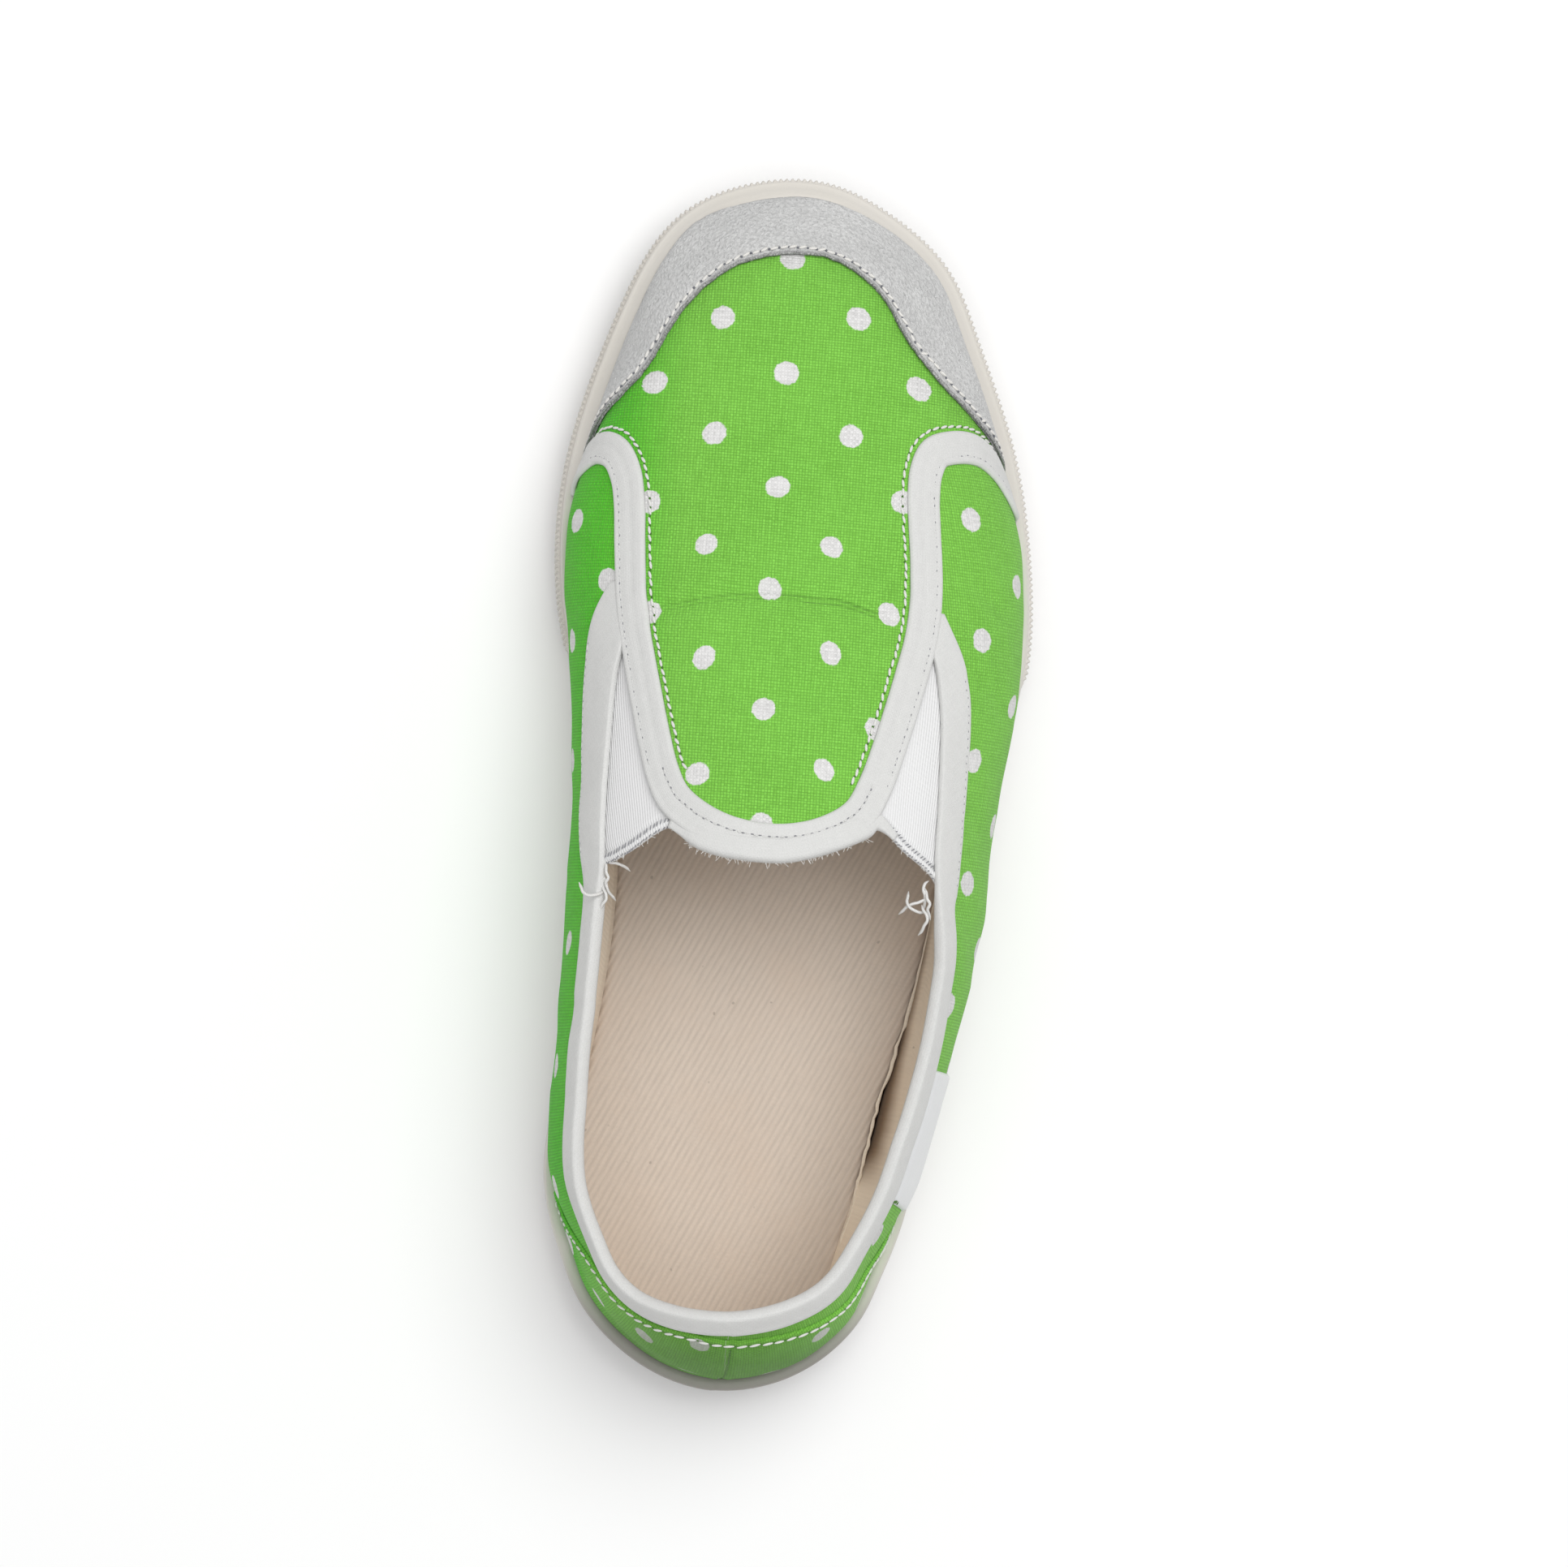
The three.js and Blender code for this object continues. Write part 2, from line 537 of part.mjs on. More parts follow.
// Everything above a line drawn on the last at a height over the collar's edge.
function aboveCollar(rise) {
  const reach = 8;
  const rings = [[], [], []];
  for (const seat of COLLAR) {
    const here = rise === 0 ? seat : settle(seat.point.clone().addScaledVector(seat.up, rise), seat);
    const out = here.point.clone().addScaledVector(here.normal, reach);
    rings[0].push(new THREE.Vector3(out.x, out.y, TOP));
    rings[1].push(out);
    rings[2].push(here.point.clone().addScaledVector(here.normal, -reach));
  }
  const middle = (ring) => {
    const sum = ring.reduce((total, p) => total.add(p), new THREE.Vector3());
    return sum.divideScalar(ring.length);
  };
  const [top, bottom] = [middle(rings[0]), middle(rings[2])];
  const skin = new Skin();
  const count = COLLAR.length;
  for (let i = 0; i < count; i++) {
    const j = (i + 1) % count;
    skin.triangle(top, rings[0][j], rings[0][i]);
    skin.quad(rings[0][i], rings[0][j], rings[1][j], rings[1][i]);
    skin.quad(rings[1][i], rings[1][j], rings[2][j], rings[2][i]);
    skin.triangle(bottom, rings[2][i], rings[2][j]);
  }
  return skin.solid();
}

// Tape folded over the edge: down the outside by drop, down the inside by turn, and round it.
function foldedTape(drop, turn) {
  const blank = shell(-(WALL + GAP + TAPE), GAP + TAPE).subtract(aboveCollar(GAP + TAPE));
  const wall = shell(-(WALL + GAP), GAP).subtract(aboveCollar(GAP));
  const inside = shell(-(WALL + GAP + 2 * TAPE), -WALL / 2).subtract(aboveCollar(-turn));
  return blank.intersect(aboveCollar(-drop)).subtract(wall).subtract(inside);
}

const openEdge = aboveCollar(0);
const belowFoxing = carriedRound((station) => {
  const top = foxingTop(station) + GAP;
  return [[14, top], [14, -5], [-5, -5], [-5, top]];
});
const surfaceTape = shell(GAP, GAP + TAPE);
const patch = shell(GAP, GAP + PATCH_THICK);
const bandBlock = ribbon(BAND_PATH, TAPE_WIDTH);
const bandRoom = ribbon(BAND_PATH, TAPE_WIDTH + 3 * GAP);
const region = (fromX, toX, fromY, toY) => upright([
  new THREE.Vector2(fromX, fromY), new THREE.Vector2(toX, fromY),
  new THREE.Vector2(toX, toY), new THREE.Vector2(fromX, toY),
]);

const innerElastic = onPlan(INNER_ELASTIC);
const outerElastic = onPlan(OUTER_ELASTIC);

function makeUpper() {
  return shell(-WALL, 0)
    .subtract(openEdge)
    .subtract(upright(innerElastic, ABOVE_BULGE))
    .subtract(upright(outerElastic, ABOVE_BULGE));
}

function makeElastic(outline) {
  return shell(-1, 0).intersect(upright(grown(outline, -2 * GAP), ABOVE_BULGE)).subtract(openEdge);
}

function makeVampBand() {
  const flat = surfaceTape.intersect(bandBlock).subtract(aboveCollar(GAP + TAPE));
  const half = 0.2 * LAST_WIDTH;
  const turned = foldedTape(THROAT_TURN, THROAT_TURN)
    .intersect(region(-half, half, 0.41 * LAST_LENGTH, 0.5 * LAST_LENGTH));
  return flat.add(turned).subtract(belowFoxing);
}

function makeCollarBinding() {
  const half = LAST_WIDTH;
  const folded = foldedTape(COLLAR_DROP, COLLAR_TURN)
    .intersect(region(-half, half, -0.1 * LAST_LENGTH, 0.405 * LAST_LENGTH));
  const fronts = [INNER_FRONT_TAPE, OUTER_FRONT_TAPE].map((rows) => {
    const outline = new THREE.SplineCurve([...onPlan(rows), ...onPlan(rows.slice(0, 1))]).getPoints(30);
    outline.pop();
    return surfaceTape.intersect(upright(outline, ABOVE_BULGE));
  });
  return folded.add(fronts[0]).add(fronts[1]).subtract(aboveCollar(GAP + TAPE)).subtract(bandRoom);
}

function makeToeCap() {
  const edge = new THREE.SplineCurve(onPlan(CAP_EDGE)).getPoints(Math.round(PATH_SAMPLES * CAP_EDGE.length));
  const ahead = [new THREE.Vector2(LAST_WIDTH, LAST_LENGTH), new THREE.Vector2(LAST_WIDTH, 1.2 * LAST_LENGTH),
    new THREE.Vector2(-LAST_WIDTH, 1.2 * LAST_LENGTH), new THREE.Vector2(-LAST_WIDTH, LAST_LENGTH)];
  return shell(GAP, GAP + CAP_THICK)
    .intersect(upright([...edge, ...ahead]))
    .subtract(bandRoom)
    .subtract(belowFoxing);
}

function makeHeelCounter() {
  const edge = COUNTER_EDGE.map((row) => [row.along * LAST_LENGTH, row.height * INSTEP_HEIGHT]);
  return patch
    .intersect(sideways([...edge, [-0.05 * LAST_LENGTH, 0.15 * INSTEP_HEIGHT]], -LAST_WIDTH, LAST_WIDTH))
    .subtract(aboveCollar(-COLLAR_DROP - GAP))
    .subtract(belowFoxing);
}

function makeSideTab() {
  const from = TAB_FROM * LAST_LENGTH;
  const to = TAB_TO * LAST_LENGTH;
  return patch
    .intersect(sideways([[from, TAB_BOTTOM], [to, TAB_BOTTOM], [to, TOP], [from, TOP]], 0, LAST_WIDTH))
    .subtract(aboveCollar(-COLLAR_DROP - GAP));
}

// Outer face of the foxing, thinner where the bumper lies over it.
function foxingOut(station) {
  const along = alongAt(station);
  return THREE.MathUtils.lerp(
    FOXING_OUT, FOXING_OUT_TOE, THREE.MathUtils.smoothstep(along, BUMPER_FROM - 0.05, BUMPER_FROM - 0.01),
  );
}

const foxingBottom = (station) => underside(plan(station).y) + OUTSOLE_LIP + GAP;

function makeFoxing() {
  return carriedRound((station) => {
    const out = foxingOut(station);
    const top = foxingTop(station);
    return [
      [out - FOXING_EDGE, top], [out, top - FOXING_EDGE], [out, foxingBottom(station)],
      [GAP, foxingBottom(station)], [GAP, top],
    ];
  });
}

function makeToeBumper() {
  const from = stationAt(BUMPER_FROM, -1);
  return carriedRound((station) => {
    const inner = FOXING_OUT_TOE + GAP;
    const top = foxingTop(station) - BUMPER_DROP;
    const low = foxingBottom(station) + 0.5;
    return [
      [inner + 0.3, top], [BUMPER_OUT, top - 0.7], [BUMPER_OUT, low + 0.7],
      [inner + 0.3, low], [inner, low], [inner, top],
    ];
  }, from, LOOP - from);
}

function makeOutsole() {
  let sole = slab((station) => {
    const { y } = plan(station);
    const low = underside(y);
    return [
      [0, platform(y)], [0, low + OUTSOLE_LIP], [OUTSOLE_LIP_OUT, low + OUTSOLE_LIP],
      [OUTSOLE_LIP_OUT, low],
    ];
  });
  const grooves = [];
  for (let y = 0.06 * LAST_LENGTH; y < 0.96 * LAST_LENGTH; y += GROOVE_PITCH) {
    const along = y / LAST_LENGTH;
    if (along > 0.33 && along < 0.52) continue;
    const half = 0.62 * Math.min(
      acrossAt(stationAt(along, 1)), -acrossAt(stationAt(along, -1)),
    ) * LAST_WIDTH;
    const groove = new THREE.BoxGeometry(2 * half, GROOVE_WIDTH, 2 * GROOVE_DEPTH);
    grooves.push(solidOf(groove.translate(0, y, underside(y))));
  }
  for (const groove of grooves) sole = sole.subtract(groove);
  return sole;
}

function makeInsole() {
  return slab((station) => {
    const { y } = plan(station);
    const cut = station > TOE_STATION ? INSOLE_SHORT * Math.max(0, insoleCut(y / LAST_LENGTH)) : 0;
    const edge = -(WALL + INSOLE_CLEAR) - cut;
    const low = platform(y) + GAP;
    return [[edge - 0.8, low + INSOLE_THICK], [edge, low + INSOLE_THICK - 0.8], [edge, low]];
  });
}

const looks = {
  rubber: { color: 0xdbd6d0, roughness: 0.55 },
  canvas: { color: 0x7ec450, roughness: 0.95 },
  suede: { color: 0xc8c9c8, roughness: 0.97 },
  tape: { color: 0xe3e3e2, roughness: 0.85 },
  elastic: { color: 0xe0e1e2, roughness: 0.8 },
  lining: { color: 0xc8b8a9, roughness: 0.95 },
};

const shoe = new THREE.Group();

function place(name, solid, look) {
  const material = new THREE.MeshStandardMaterial({ ...looks[look], metalness: 0 });
  const mesh = new THREE.Mesh(geometryOf(solid), material);
  mesh.name = name;
  shoe.add(mesh);
}

place('outsole', makeOutsole(), 'rubber');
place('foxing', makeFoxing(), 'rubber');
place('toe_bumper', makeToeBumper(), 'rubber');
place('insole', makeInsole(), 'lining');
place('upper', makeUpper(), 'canvas');
place('toe_cap', makeToeCap(), 'suede');
place('vamp_band', makeVampBand(), 'tape');
place('collar_binding', makeCollarBinding(), 'tape');
place('heel_counter', makeHeelCounter(), 'canvas');
place('gore_medial', makeElastic(innerElastic), 'elastic');
place('gore_lateral', makeElastic(outerElastic), 'elastic');
place('side_tab', makeSideTab(), 'tape');

// The part's origin is the middle of its box, on the floor.
const box = new THREE.Box3().setFromObject(shoe);
const centre = box.getCenter(new THREE.Vector3());
shoe.position.set(-centre.x, -centre.y, -box.min.z);

const part = new THREE.Group();
part.add(shoe);

export default part;
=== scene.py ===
"""Slip-on canvas shoe, right foot: cloth, tapes, suede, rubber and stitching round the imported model."""

import math

import bmesh
import bpy
import numpy as np
from bpy.props import FloatProperty, FloatVectorProperty, PointerProperty
from mathutils import Matrix, Vector, kdtree, noise


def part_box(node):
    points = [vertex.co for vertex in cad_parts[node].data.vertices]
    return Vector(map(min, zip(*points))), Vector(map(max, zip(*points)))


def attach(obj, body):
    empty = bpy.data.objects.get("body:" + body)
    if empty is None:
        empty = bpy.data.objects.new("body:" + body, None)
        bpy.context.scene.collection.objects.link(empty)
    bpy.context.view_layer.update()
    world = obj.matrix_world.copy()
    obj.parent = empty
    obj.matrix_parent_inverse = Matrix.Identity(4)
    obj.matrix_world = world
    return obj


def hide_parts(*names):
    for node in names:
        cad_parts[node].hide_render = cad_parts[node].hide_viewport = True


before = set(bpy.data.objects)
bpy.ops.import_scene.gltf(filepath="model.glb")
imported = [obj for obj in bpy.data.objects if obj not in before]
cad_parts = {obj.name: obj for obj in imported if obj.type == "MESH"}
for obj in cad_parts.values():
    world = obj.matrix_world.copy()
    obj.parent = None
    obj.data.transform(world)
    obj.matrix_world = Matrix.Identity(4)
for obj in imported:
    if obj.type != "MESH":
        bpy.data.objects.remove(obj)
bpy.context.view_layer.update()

bl_info = {
    "name": "Slip-on canvas shoe",
    "version": (1, 0, 0),
    "blender": (4, 5, 0),
    "location": "3D View > Sidebar > Shoe",
    "description": "Dresses the packed shoe with dotted canvas, tapes, suede, elastics and rubber",
    "category": "Add Mesh",
}

# The last, in millimetres: y from the back of the heel to the toe, x to the outer side, z up.
LENGTH, WIDTH, INSTEP = 239.5, 92.0, 78.0
BULGE, RISE, FOXING = 8.2, 15.0, 24.0
TOE_SPRING, ARCH_LIFT = 5.5, 1.3
FOOTBED, FOOTBED_DROP = 10.5, 2.0
LIP = 2.7  # how far the outsole stands out past the feather line
HEEL_TUCK, HEEL_SIDE_TUCK, TOE_TUCK = 1.1, 0.9, 2.3  # how far the cloth draws in above the foxing
INSOLE_SHORT, INSOLE_GAP = 4.5, 2.1
SEAM_PITCH, TAPE_PITCH = 1.9, 1.65

# along, medial, lateral, medial bulge, lateral bulge, ridge, foxing, rise, square
ROWS = np.array([
    [0.000, 0.005, 0.005, 0.04, 0.04, 0.175, 1.00, 0.65, 2.30],
    [0.018, -0.157, 0.168, 0.05, 0.06, 0.180, 1.00, 0.65, 2.30],
    [0.056, -0.271, 0.272, 0.12, 0.16, 0.192, 1.00, 0.67, 2.28],
    [0.095, -0.324, 0.316, 0.18, 0.12, 0.210, 0.99, 0.70, 2.26],
    [0.154, -0.370, 0.361, 0.27, 0.20, 0.235, 0.97, 0.78, 2.24],
    [0.233, -0.357, 0.380, 0.59, 0.53, 0.277, 0.95, 0.92, 2.22],
    [0.316, -0.329, 0.402, 0.88, 0.73, 0.335, 0.93, 1.00, 2.18],
    [0.400, -0.318, 0.429, 1.00, 0.79, 0.405, 0.91, 1.00, 2.10],
    [0.484, -0.335, 0.463, 0.91, 0.55, 0.484, 0.90, 0.92, 2.00],
    [0.567, -0.384, 0.521, 0.54, 0.20, 0.567, 0.89, 0.70, 1.98],
    [0.644, -0.438, 0.543, 0.24, 0.05, 0.644, 0.88, 0.50, 2.00],
    [0.726, -0.452, 0.520, 0.10, 0.06, 0.722, 0.87, 0.36, 2.06],
    [0.805, -0.421, 0.468, 0.06, 0.05, 0.793, 0.85, 0.28, 2.14],
    [0.886, -0.358, 0.379, 0.05, 0.05, 0.856, 0.83, 0.24, 2.22],
    [0.943, -0.293, 0.298, 0.05, 0.05, 0.893, 0.82, 0.22, 2.28],
    [0.982, -0.187, 0.162, 0.05, 0.05, 0.918, 0.81, 0.22, 2.30],
    [1.000, 0.000, 0.000, 0.05, 0.05, 0.926, 0.81, 0.22, 2.30],
])
RIDGE_HEIGHT = np.array([
    [0.000, 1.000], [0.170, 1.025], [0.330, 1.025], [0.420, 1.012], [0.450, 0.990],
    [0.505, 0.925], [0.567, 0.853], [0.644, 0.770], [0.726, 0.692], [0.805, 0.628],
    [0.868, 0.580], [0.926, 0.520], [0.970, 0.460], [1.020, 0.380],
])
RIDGE_LINE = np.array([
    [0.00, -0.010], [0.20, -0.006], [0.44, 0.010], [0.55, 0.000],
    [0.65, -0.012], [0.80, -0.010], [0.93, 0.000], [1.02, 0.000],
])

# The upper's free edge: side (-1 inner, 1 outer), along, girth
COLLAR_EDGE = np.array([
    [-1, 0.001, 0.430], [-1, 0.020, 0.500], [-1, 0.045, 0.575], [-1, 0.070, 0.615], [-1, 0.107, 0.638],
    [-1, 0.147, 0.642], [-1, 0.190, 0.636], [-1, 0.235, 0.630], [-1, 0.290, 0.626], [-1, 0.340, 0.626],
    [-1, 0.385, 0.624], [-1, 0.412, 0.606], [-1, 0.433, 0.470], [-1, 0.452, 0.335], [-1, 0.449, 0.305],
    [-1, 0.438, 0.215], [-1, 0.432, 0.110], [1, 0.431, 0.020], [1, 0.436, 0.085], [1, 0.447, 0.175],
    [1, 0.460, 0.262], [1, 0.466, 0.290], [1, 0.447, 0.390], [1, 0.427, 0.506], [1, 0.404, 0.554],
    [1, 0.356, 0.586], [1, 0.314, 0.606], [1, 0.272, 0.614], [1, 0.228, 0.606], [1, 0.190, 0.594],
    [1, 0.147, 0.585], [1, 0.107, 0.552], [1, 0.070, 0.500], [1, 0.045, 0.468], [1, 0.020, 0.438],
])

# Seams seen from above as shares of WIDTH and LENGTH
BAND_PATH = [
    (0.510, 0.753), (0.460, 0.778), (0.410, 0.788), (0.352, 0.787), (0.312, 0.780), (0.294, 0.763),
    (0.292, 0.740), (0.298, 0.716), (0.307, 0.684), (0.311, 0.655), (0.305, 0.623), (0.290, 0.595),
    (0.272, 0.566), (0.248, 0.530), (0.222, 0.497), (0.189, 0.472), (0.130, 0.456), (0.060, 0.447),
    (-0.010, 0.445), (-0.085, 0.449), (-0.148, 0.459), (-0.200, 0.475), (-0.227, 0.496), (-0.248, 0.524),
    (-0.269, 0.556), (-0.290, 0.588), (-0.309, 0.620), (-0.321, 0.652), (-0.329, 0.684), (-0.337, 0.718),
    (-0.348, 0.742), (-0.372, 0.760), (-0.408, 0.766), (-0.444, 0.757),
]
CAP_EDGE = [
    (-0.445, 0.776), (-0.422, 0.791), (-0.385, 0.806), (-0.333, 0.826), (-0.302, 0.846), (-0.275, 0.869),
    (-0.239, 0.891), (-0.196, 0.910), (-0.144, 0.925), (-0.070, 0.936), (0.000, 0.940), (0.050, 0.939),
    (0.100, 0.932), (0.145, 0.920), (0.181, 0.905), (0.212, 0.886), (0.244, 0.867), (0.297, 0.846),
    (0.361, 0.825), (0.427, 0.806), (0.474, 0.791),
]
# Tape beside each elastic: its outer and inner line, from the collar forward
INNER_FRONT = (
    [(-0.371, 0.385), (-0.374, 0.412), (-0.385, 0.457), (-0.395, 0.517), (-0.400, 0.558), (-0.401, 0.598),
     (-0.391, 0.626), (-0.362, 0.652)],
    [(-0.337, 0.385), (-0.335, 0.412), (-0.339, 0.455), (-0.341, 0.516), (-0.337, 0.575), (-0.325, 0.606),
     (-0.322, 0.630), (-0.325, 0.652)],
)
OUTER_FRONT = (
    [(0.411, 0.385), (0.416, 0.416), (0.422, 0.495), (0.422, 0.556), (0.413, 0.588), (0.392, 0.616),
     (0.371, 0.632), (0.345, 0.650)],
    [(0.366, 0.385), (0.369, 0.423), (0.366, 0.495), (0.361, 0.555), (0.347, 0.592), (0.330, 0.618),
     (0.327, 0.630), (0.325, 0.645)],
)
# Each elastic: its line under the band and its line under the front tape, apex to free edge
INNER_GORE = (
    [(-0.336, 0.620), (-0.315, 0.603), (-0.288, 0.565), (-0.250, 0.515), (-0.222, 0.483), (-0.205, 0.468)],
    [(-0.340, 0.620), (-0.356, 0.600), (-0.362, 0.558), (-0.360, 0.515), (-0.357, 0.455), (-0.355, 0.420)],
)
OUTER_GORE = (
    [(0.336, 0.624), (0.308, 0.598), (0.275, 0.556), (0.248, 0.520), (0.236, 0.500), (0.224, 0.484)],
    [(0.340, 0.624), (0.364, 0.595), (0.379, 0.555), (0.385, 0.495), (0.387, 0.450), (0.387, 0.430)],
)
INNER_WINDOW = [
    (-0.140, 0.425), (-0.205, 0.468), (-0.250, 0.515), (-0.288, 0.565), (-0.315, 0.603), (-0.338, 0.622),
    (-0.356, 0.600), (-0.362, 0.558), (-0.360, 0.515), (-0.357, 0.455), (-0.352, 0.400), (-0.250, 0.350),
]
OUTER_WINDOW = [
    (0.160, 0.420), (0.222, 0.482), (0.240, 0.512), (0.275, 0.556), (0.308, 0.598), (0.338, 0.626),
    (0.364, 0.595), (0.379, 0.555), (0.385, 0.495), (0.387, 0.415), (0.270, 0.350),
]
# Top edge of the heel counter from the side: along, height
COUNTER_EDGE = np.array([
    [-0.050, 0.850], [0.000, 0.845], [0.040, 0.800], [0.062, 0.740], [0.085, 0.650], [0.108, 0.545],
    [0.128, 0.430], [0.145, 0.300], [0.150, 0.150],
])
INSOLE_CUT = np.array([
    [0.00, 0.00], [0.03, 0.15], [0.06, 0.60], [0.10, 0.98], [0.15, 1.10], [0.20, 1.00], [0.23, 0.82],
    [0.256, 0.58], [0.30, 0.28], [0.34, 0.10], [0.38, 0.02], [0.42, 0.00], [0.70, 0.00], [1.00, 0.00],
])
# Printed dots of the vamp in millimetres, with their column and row of the print
VAMP_DOTS = np.array([
    [-15.3, 210.8, -1, 3], [11.7, 212.7, 1, 3], [-2.0, 200.2, 0, 2], [-27.8, 197.0, -2, 2],
    [24.7, 199.7, 2, 2], [-15.5, 187.1, -1, 1], [11.7, 188.5, 1, 1], [-2.2, 177.1, 0, 0],
    [-15.6, 164.5, -1, -1], [9.1, 165.9, 1, -1], [-2.5, 156.6, 0, -2], [21.4, 153.4, 2, -2],
    [-14.4, 141.7, -1, -3], [10.2, 144.5, 1, -3], [-2.3, 132.4, 0, -4], [10.2, 121.4, 1, -5],
    [-14.2, 118.6, -1, -5], [-2.2, 224.4, 0, 4], [22.8, 176.3, 2, 0], [-27.2, 172.4, -2, 0],
    [-25.5, 150.1, -2, -2], [19.6, 130.0, 2, -4], [-1.4, 109.7, 0, -6], [40.0, 186.0, 3, 1], [-43.0, 183.0, -3, 1],
])
COLUMN, ROW = 13.6, 12.2  # half the distance in a row of dots, and between rows


def natural_cubic(xs, ys):
    """A natural cubic spline through the points, for arrays."""
    xs, ys = np.asarray(xs, float), np.asarray(ys, float)
    count, step = len(xs), np.diff(xs)
    system, turn = np.eye(count), np.zeros(count)
    for i in range(1, count - 1):
        system[i, i - 1:i + 2] = step[i - 1], 2 * (step[i - 1] + step[i]), step[i]
        turn[i] = 6 * ((ys[i + 1] - ys[i]) / step[i] - (ys[i] - ys[i - 1]) / step[i - 1])
    bend = np.linalg.solve(system, turn)

    def curve(x):
        x = np.asarray(x, float)
        i = np.clip(np.searchsorted(xs, x) - 1, 0, count - 2)
        a, b, w = xs[i + 1] - x, x - xs[i], step[i]
        curved = (bend[i] * a**3 + bend[i + 1] * b**3) / (6 * w)
        return curved + (ys[i] / w - bend[i] * w / 6) * a + (ys[i + 1] / w - bend[i + 1] * w / 6) * b

    return curve


TOE = len(ROWS) - 1  # stations run round the last, heel, inner side, toe, outer side, heel
LOOP = 2 * TOE


def round_the_last(inner, outer):
    stations = np.arange(-6, LOOP + 7)
    values = np.concatenate([ROWS[:, inner], ROWS[-2:0:-1, outer]])
    curve = natural_cubic(stations, values[stations % LOOP])
    return lambda s: curve(np.mod(s, LOOP))


along_at, across_at = round_the_last(0, 0), round_the_last(1, 2)
bulge_at, ridge_at = round_the_last(3, 4), round_the_last(5, 5)
foxing_at, rise_at, square_at = round_the_last(6, 6), round_the_last(7, 7), round_the_last(8, 8)
ridge_height = natural_cubic(*RIDGE_HEIGHT.T)
ridge_across = natural_cubic(*RIDGE_LINE.T)
insole_cut = natural_cubic(*INSOLE_CUT.T)


def plan(s):
    return np.stack([across_at(s) * WIDTH, along_at(s) * LENGTH], -1)


def outward(s):
    step = plan(np.asarray(s) + 1e-3) - plan(np.asarray(s) - 1e-3)
    away = np.stack([-step[..., 1], step[..., 0]], -1)
    return away / np.linalg.norm(away, axis=-1, keepdims=True)


def feather(s, offset=0.0):
    """The line where the upper meets the sole, moved out by an offset."""
    return plan(s) + outward(s) * np.asarray(offset)[..., None]


def toe_lift(y):
    return TOE_SPRING * np.maximum(0, (y / LENGTH - 0.78) / 0.22) ** 2


def underside(y):
    return ARCH_LIFT * np.sin(np.pi * np.clip((y / LENGTH - 0.32) / 0.26, 0, 1)) ** 2 + toe_lift(y)


def eased(x, start, end):
    t = np.clip((np.asarray(x, float) - start) / (end - start), 0, 1)
    return t * t * (3 - 2 * t)


def platform(y):
    return FOOTBED - FOOTBED_DROP * eased(y / LENGTH, 0.28, 0.66) + toe_lift(y)


def foxing_top(s):
    return FOXING * foxing_at(s) + toe_lift(plan(s)[..., 1])


def lerp(a, b, t):
    return a + (b - a) * t


def bell(far, width):
    return np.exp(-((far / width) ** 2))


def last_point(s, g):
    """Point of the last: girth 0 on the ridge, 1 on the widest line, 1.5 on the feather line."""
    s, g = np.broadcast_arrays(np.mod(s, LOOP), np.asarray(g, float))
    foot, wide = feather(s), feather(s, bulge_at(s) * BULGE)
    low = foxing_top(s)
    wide_z = low + rise_at(s) * RISE
    ridge_y = ridge_at(np.where(s <= TOE, s, LOOP - s))
    ridge = np.stack([ridge_across(ridge_y) * WIDTH, ridge_y * LENGTH], -1)
    angle = np.clip(g, 0, 1) * np.pi / 2
    over = lerp(ridge, wide, (np.sin(angle) ** (2 / square_at(s)))[..., None])
    over_z = lerp(wide_z, ridge_height(over[..., 1] / LENGTH) * INSTEP, np.cos(angle))
    tuck = np.clip((g - 1) * 2, 0, 1)
    under = lerp(foot, wide, np.cos(tuck * np.pi / 2)[..., None])
    under_z = lerp(wide_z, low, tuck)
    deep = np.clip((g - 1.5) * 2, 0, 1)
    under_z = lerp(under_z, platform(foot[..., 1]) + 0.3, deep)
    above = g <= 1
    return np.concatenate([np.where(above[..., None], over, under), np.where(above, over_z, under_z)[..., None]], -1)


def unit(v):
    return v / np.maximum(np.linalg.norm(v, axis=-1, keepdims=True), 1e-9)


def last_normal(s, g):
    s, g = np.broadcast_arrays(np.mod(s, LOOP), np.asarray(g, float))

    def steep(at, girth):
        along = last_point(at + 0.05, girth) - last_point(at - 0.05, girth)
        down = last_point(at, np.minimum(1.5, girth + 0.02)) - last_point(at, girth - 0.02)
        return unit(np.cross(along, down))

    middle = np.clip(g, 0.03, 1.48)
    normal = steep(s, middle)
    ridge = unit(normal + steep(LOOP - s, middle))
    normal = unit(lerp(ridge, normal, eased(g, 0.0, 0.1)[..., None]))
    flat = np.concatenate([outward(s), np.zeros(s.shape + (1,))], -1)
    return unit(np.where((g >= 1.5)[..., None], flat, normal))


def sampled_tree(flat):
    s, g = np.meshgrid(np.arange(0, LOOP, 0.25), np.arange(0.01, 1.0 if flat else 1.52, 0.03), indexing="ij")
    points = last_point(s, g).reshape(-1, 3)
    if flat:
        points = points * [1, 1, 0]
    tree = kdtree.KDTree(len(points))
    for k, point in enumerate(points):
        tree.insert(point, k)
    tree.balance()
    return tree, s.ravel(), g.ravel()


TREES = {flat: sampled_tree(flat) for flat in (False, True)}


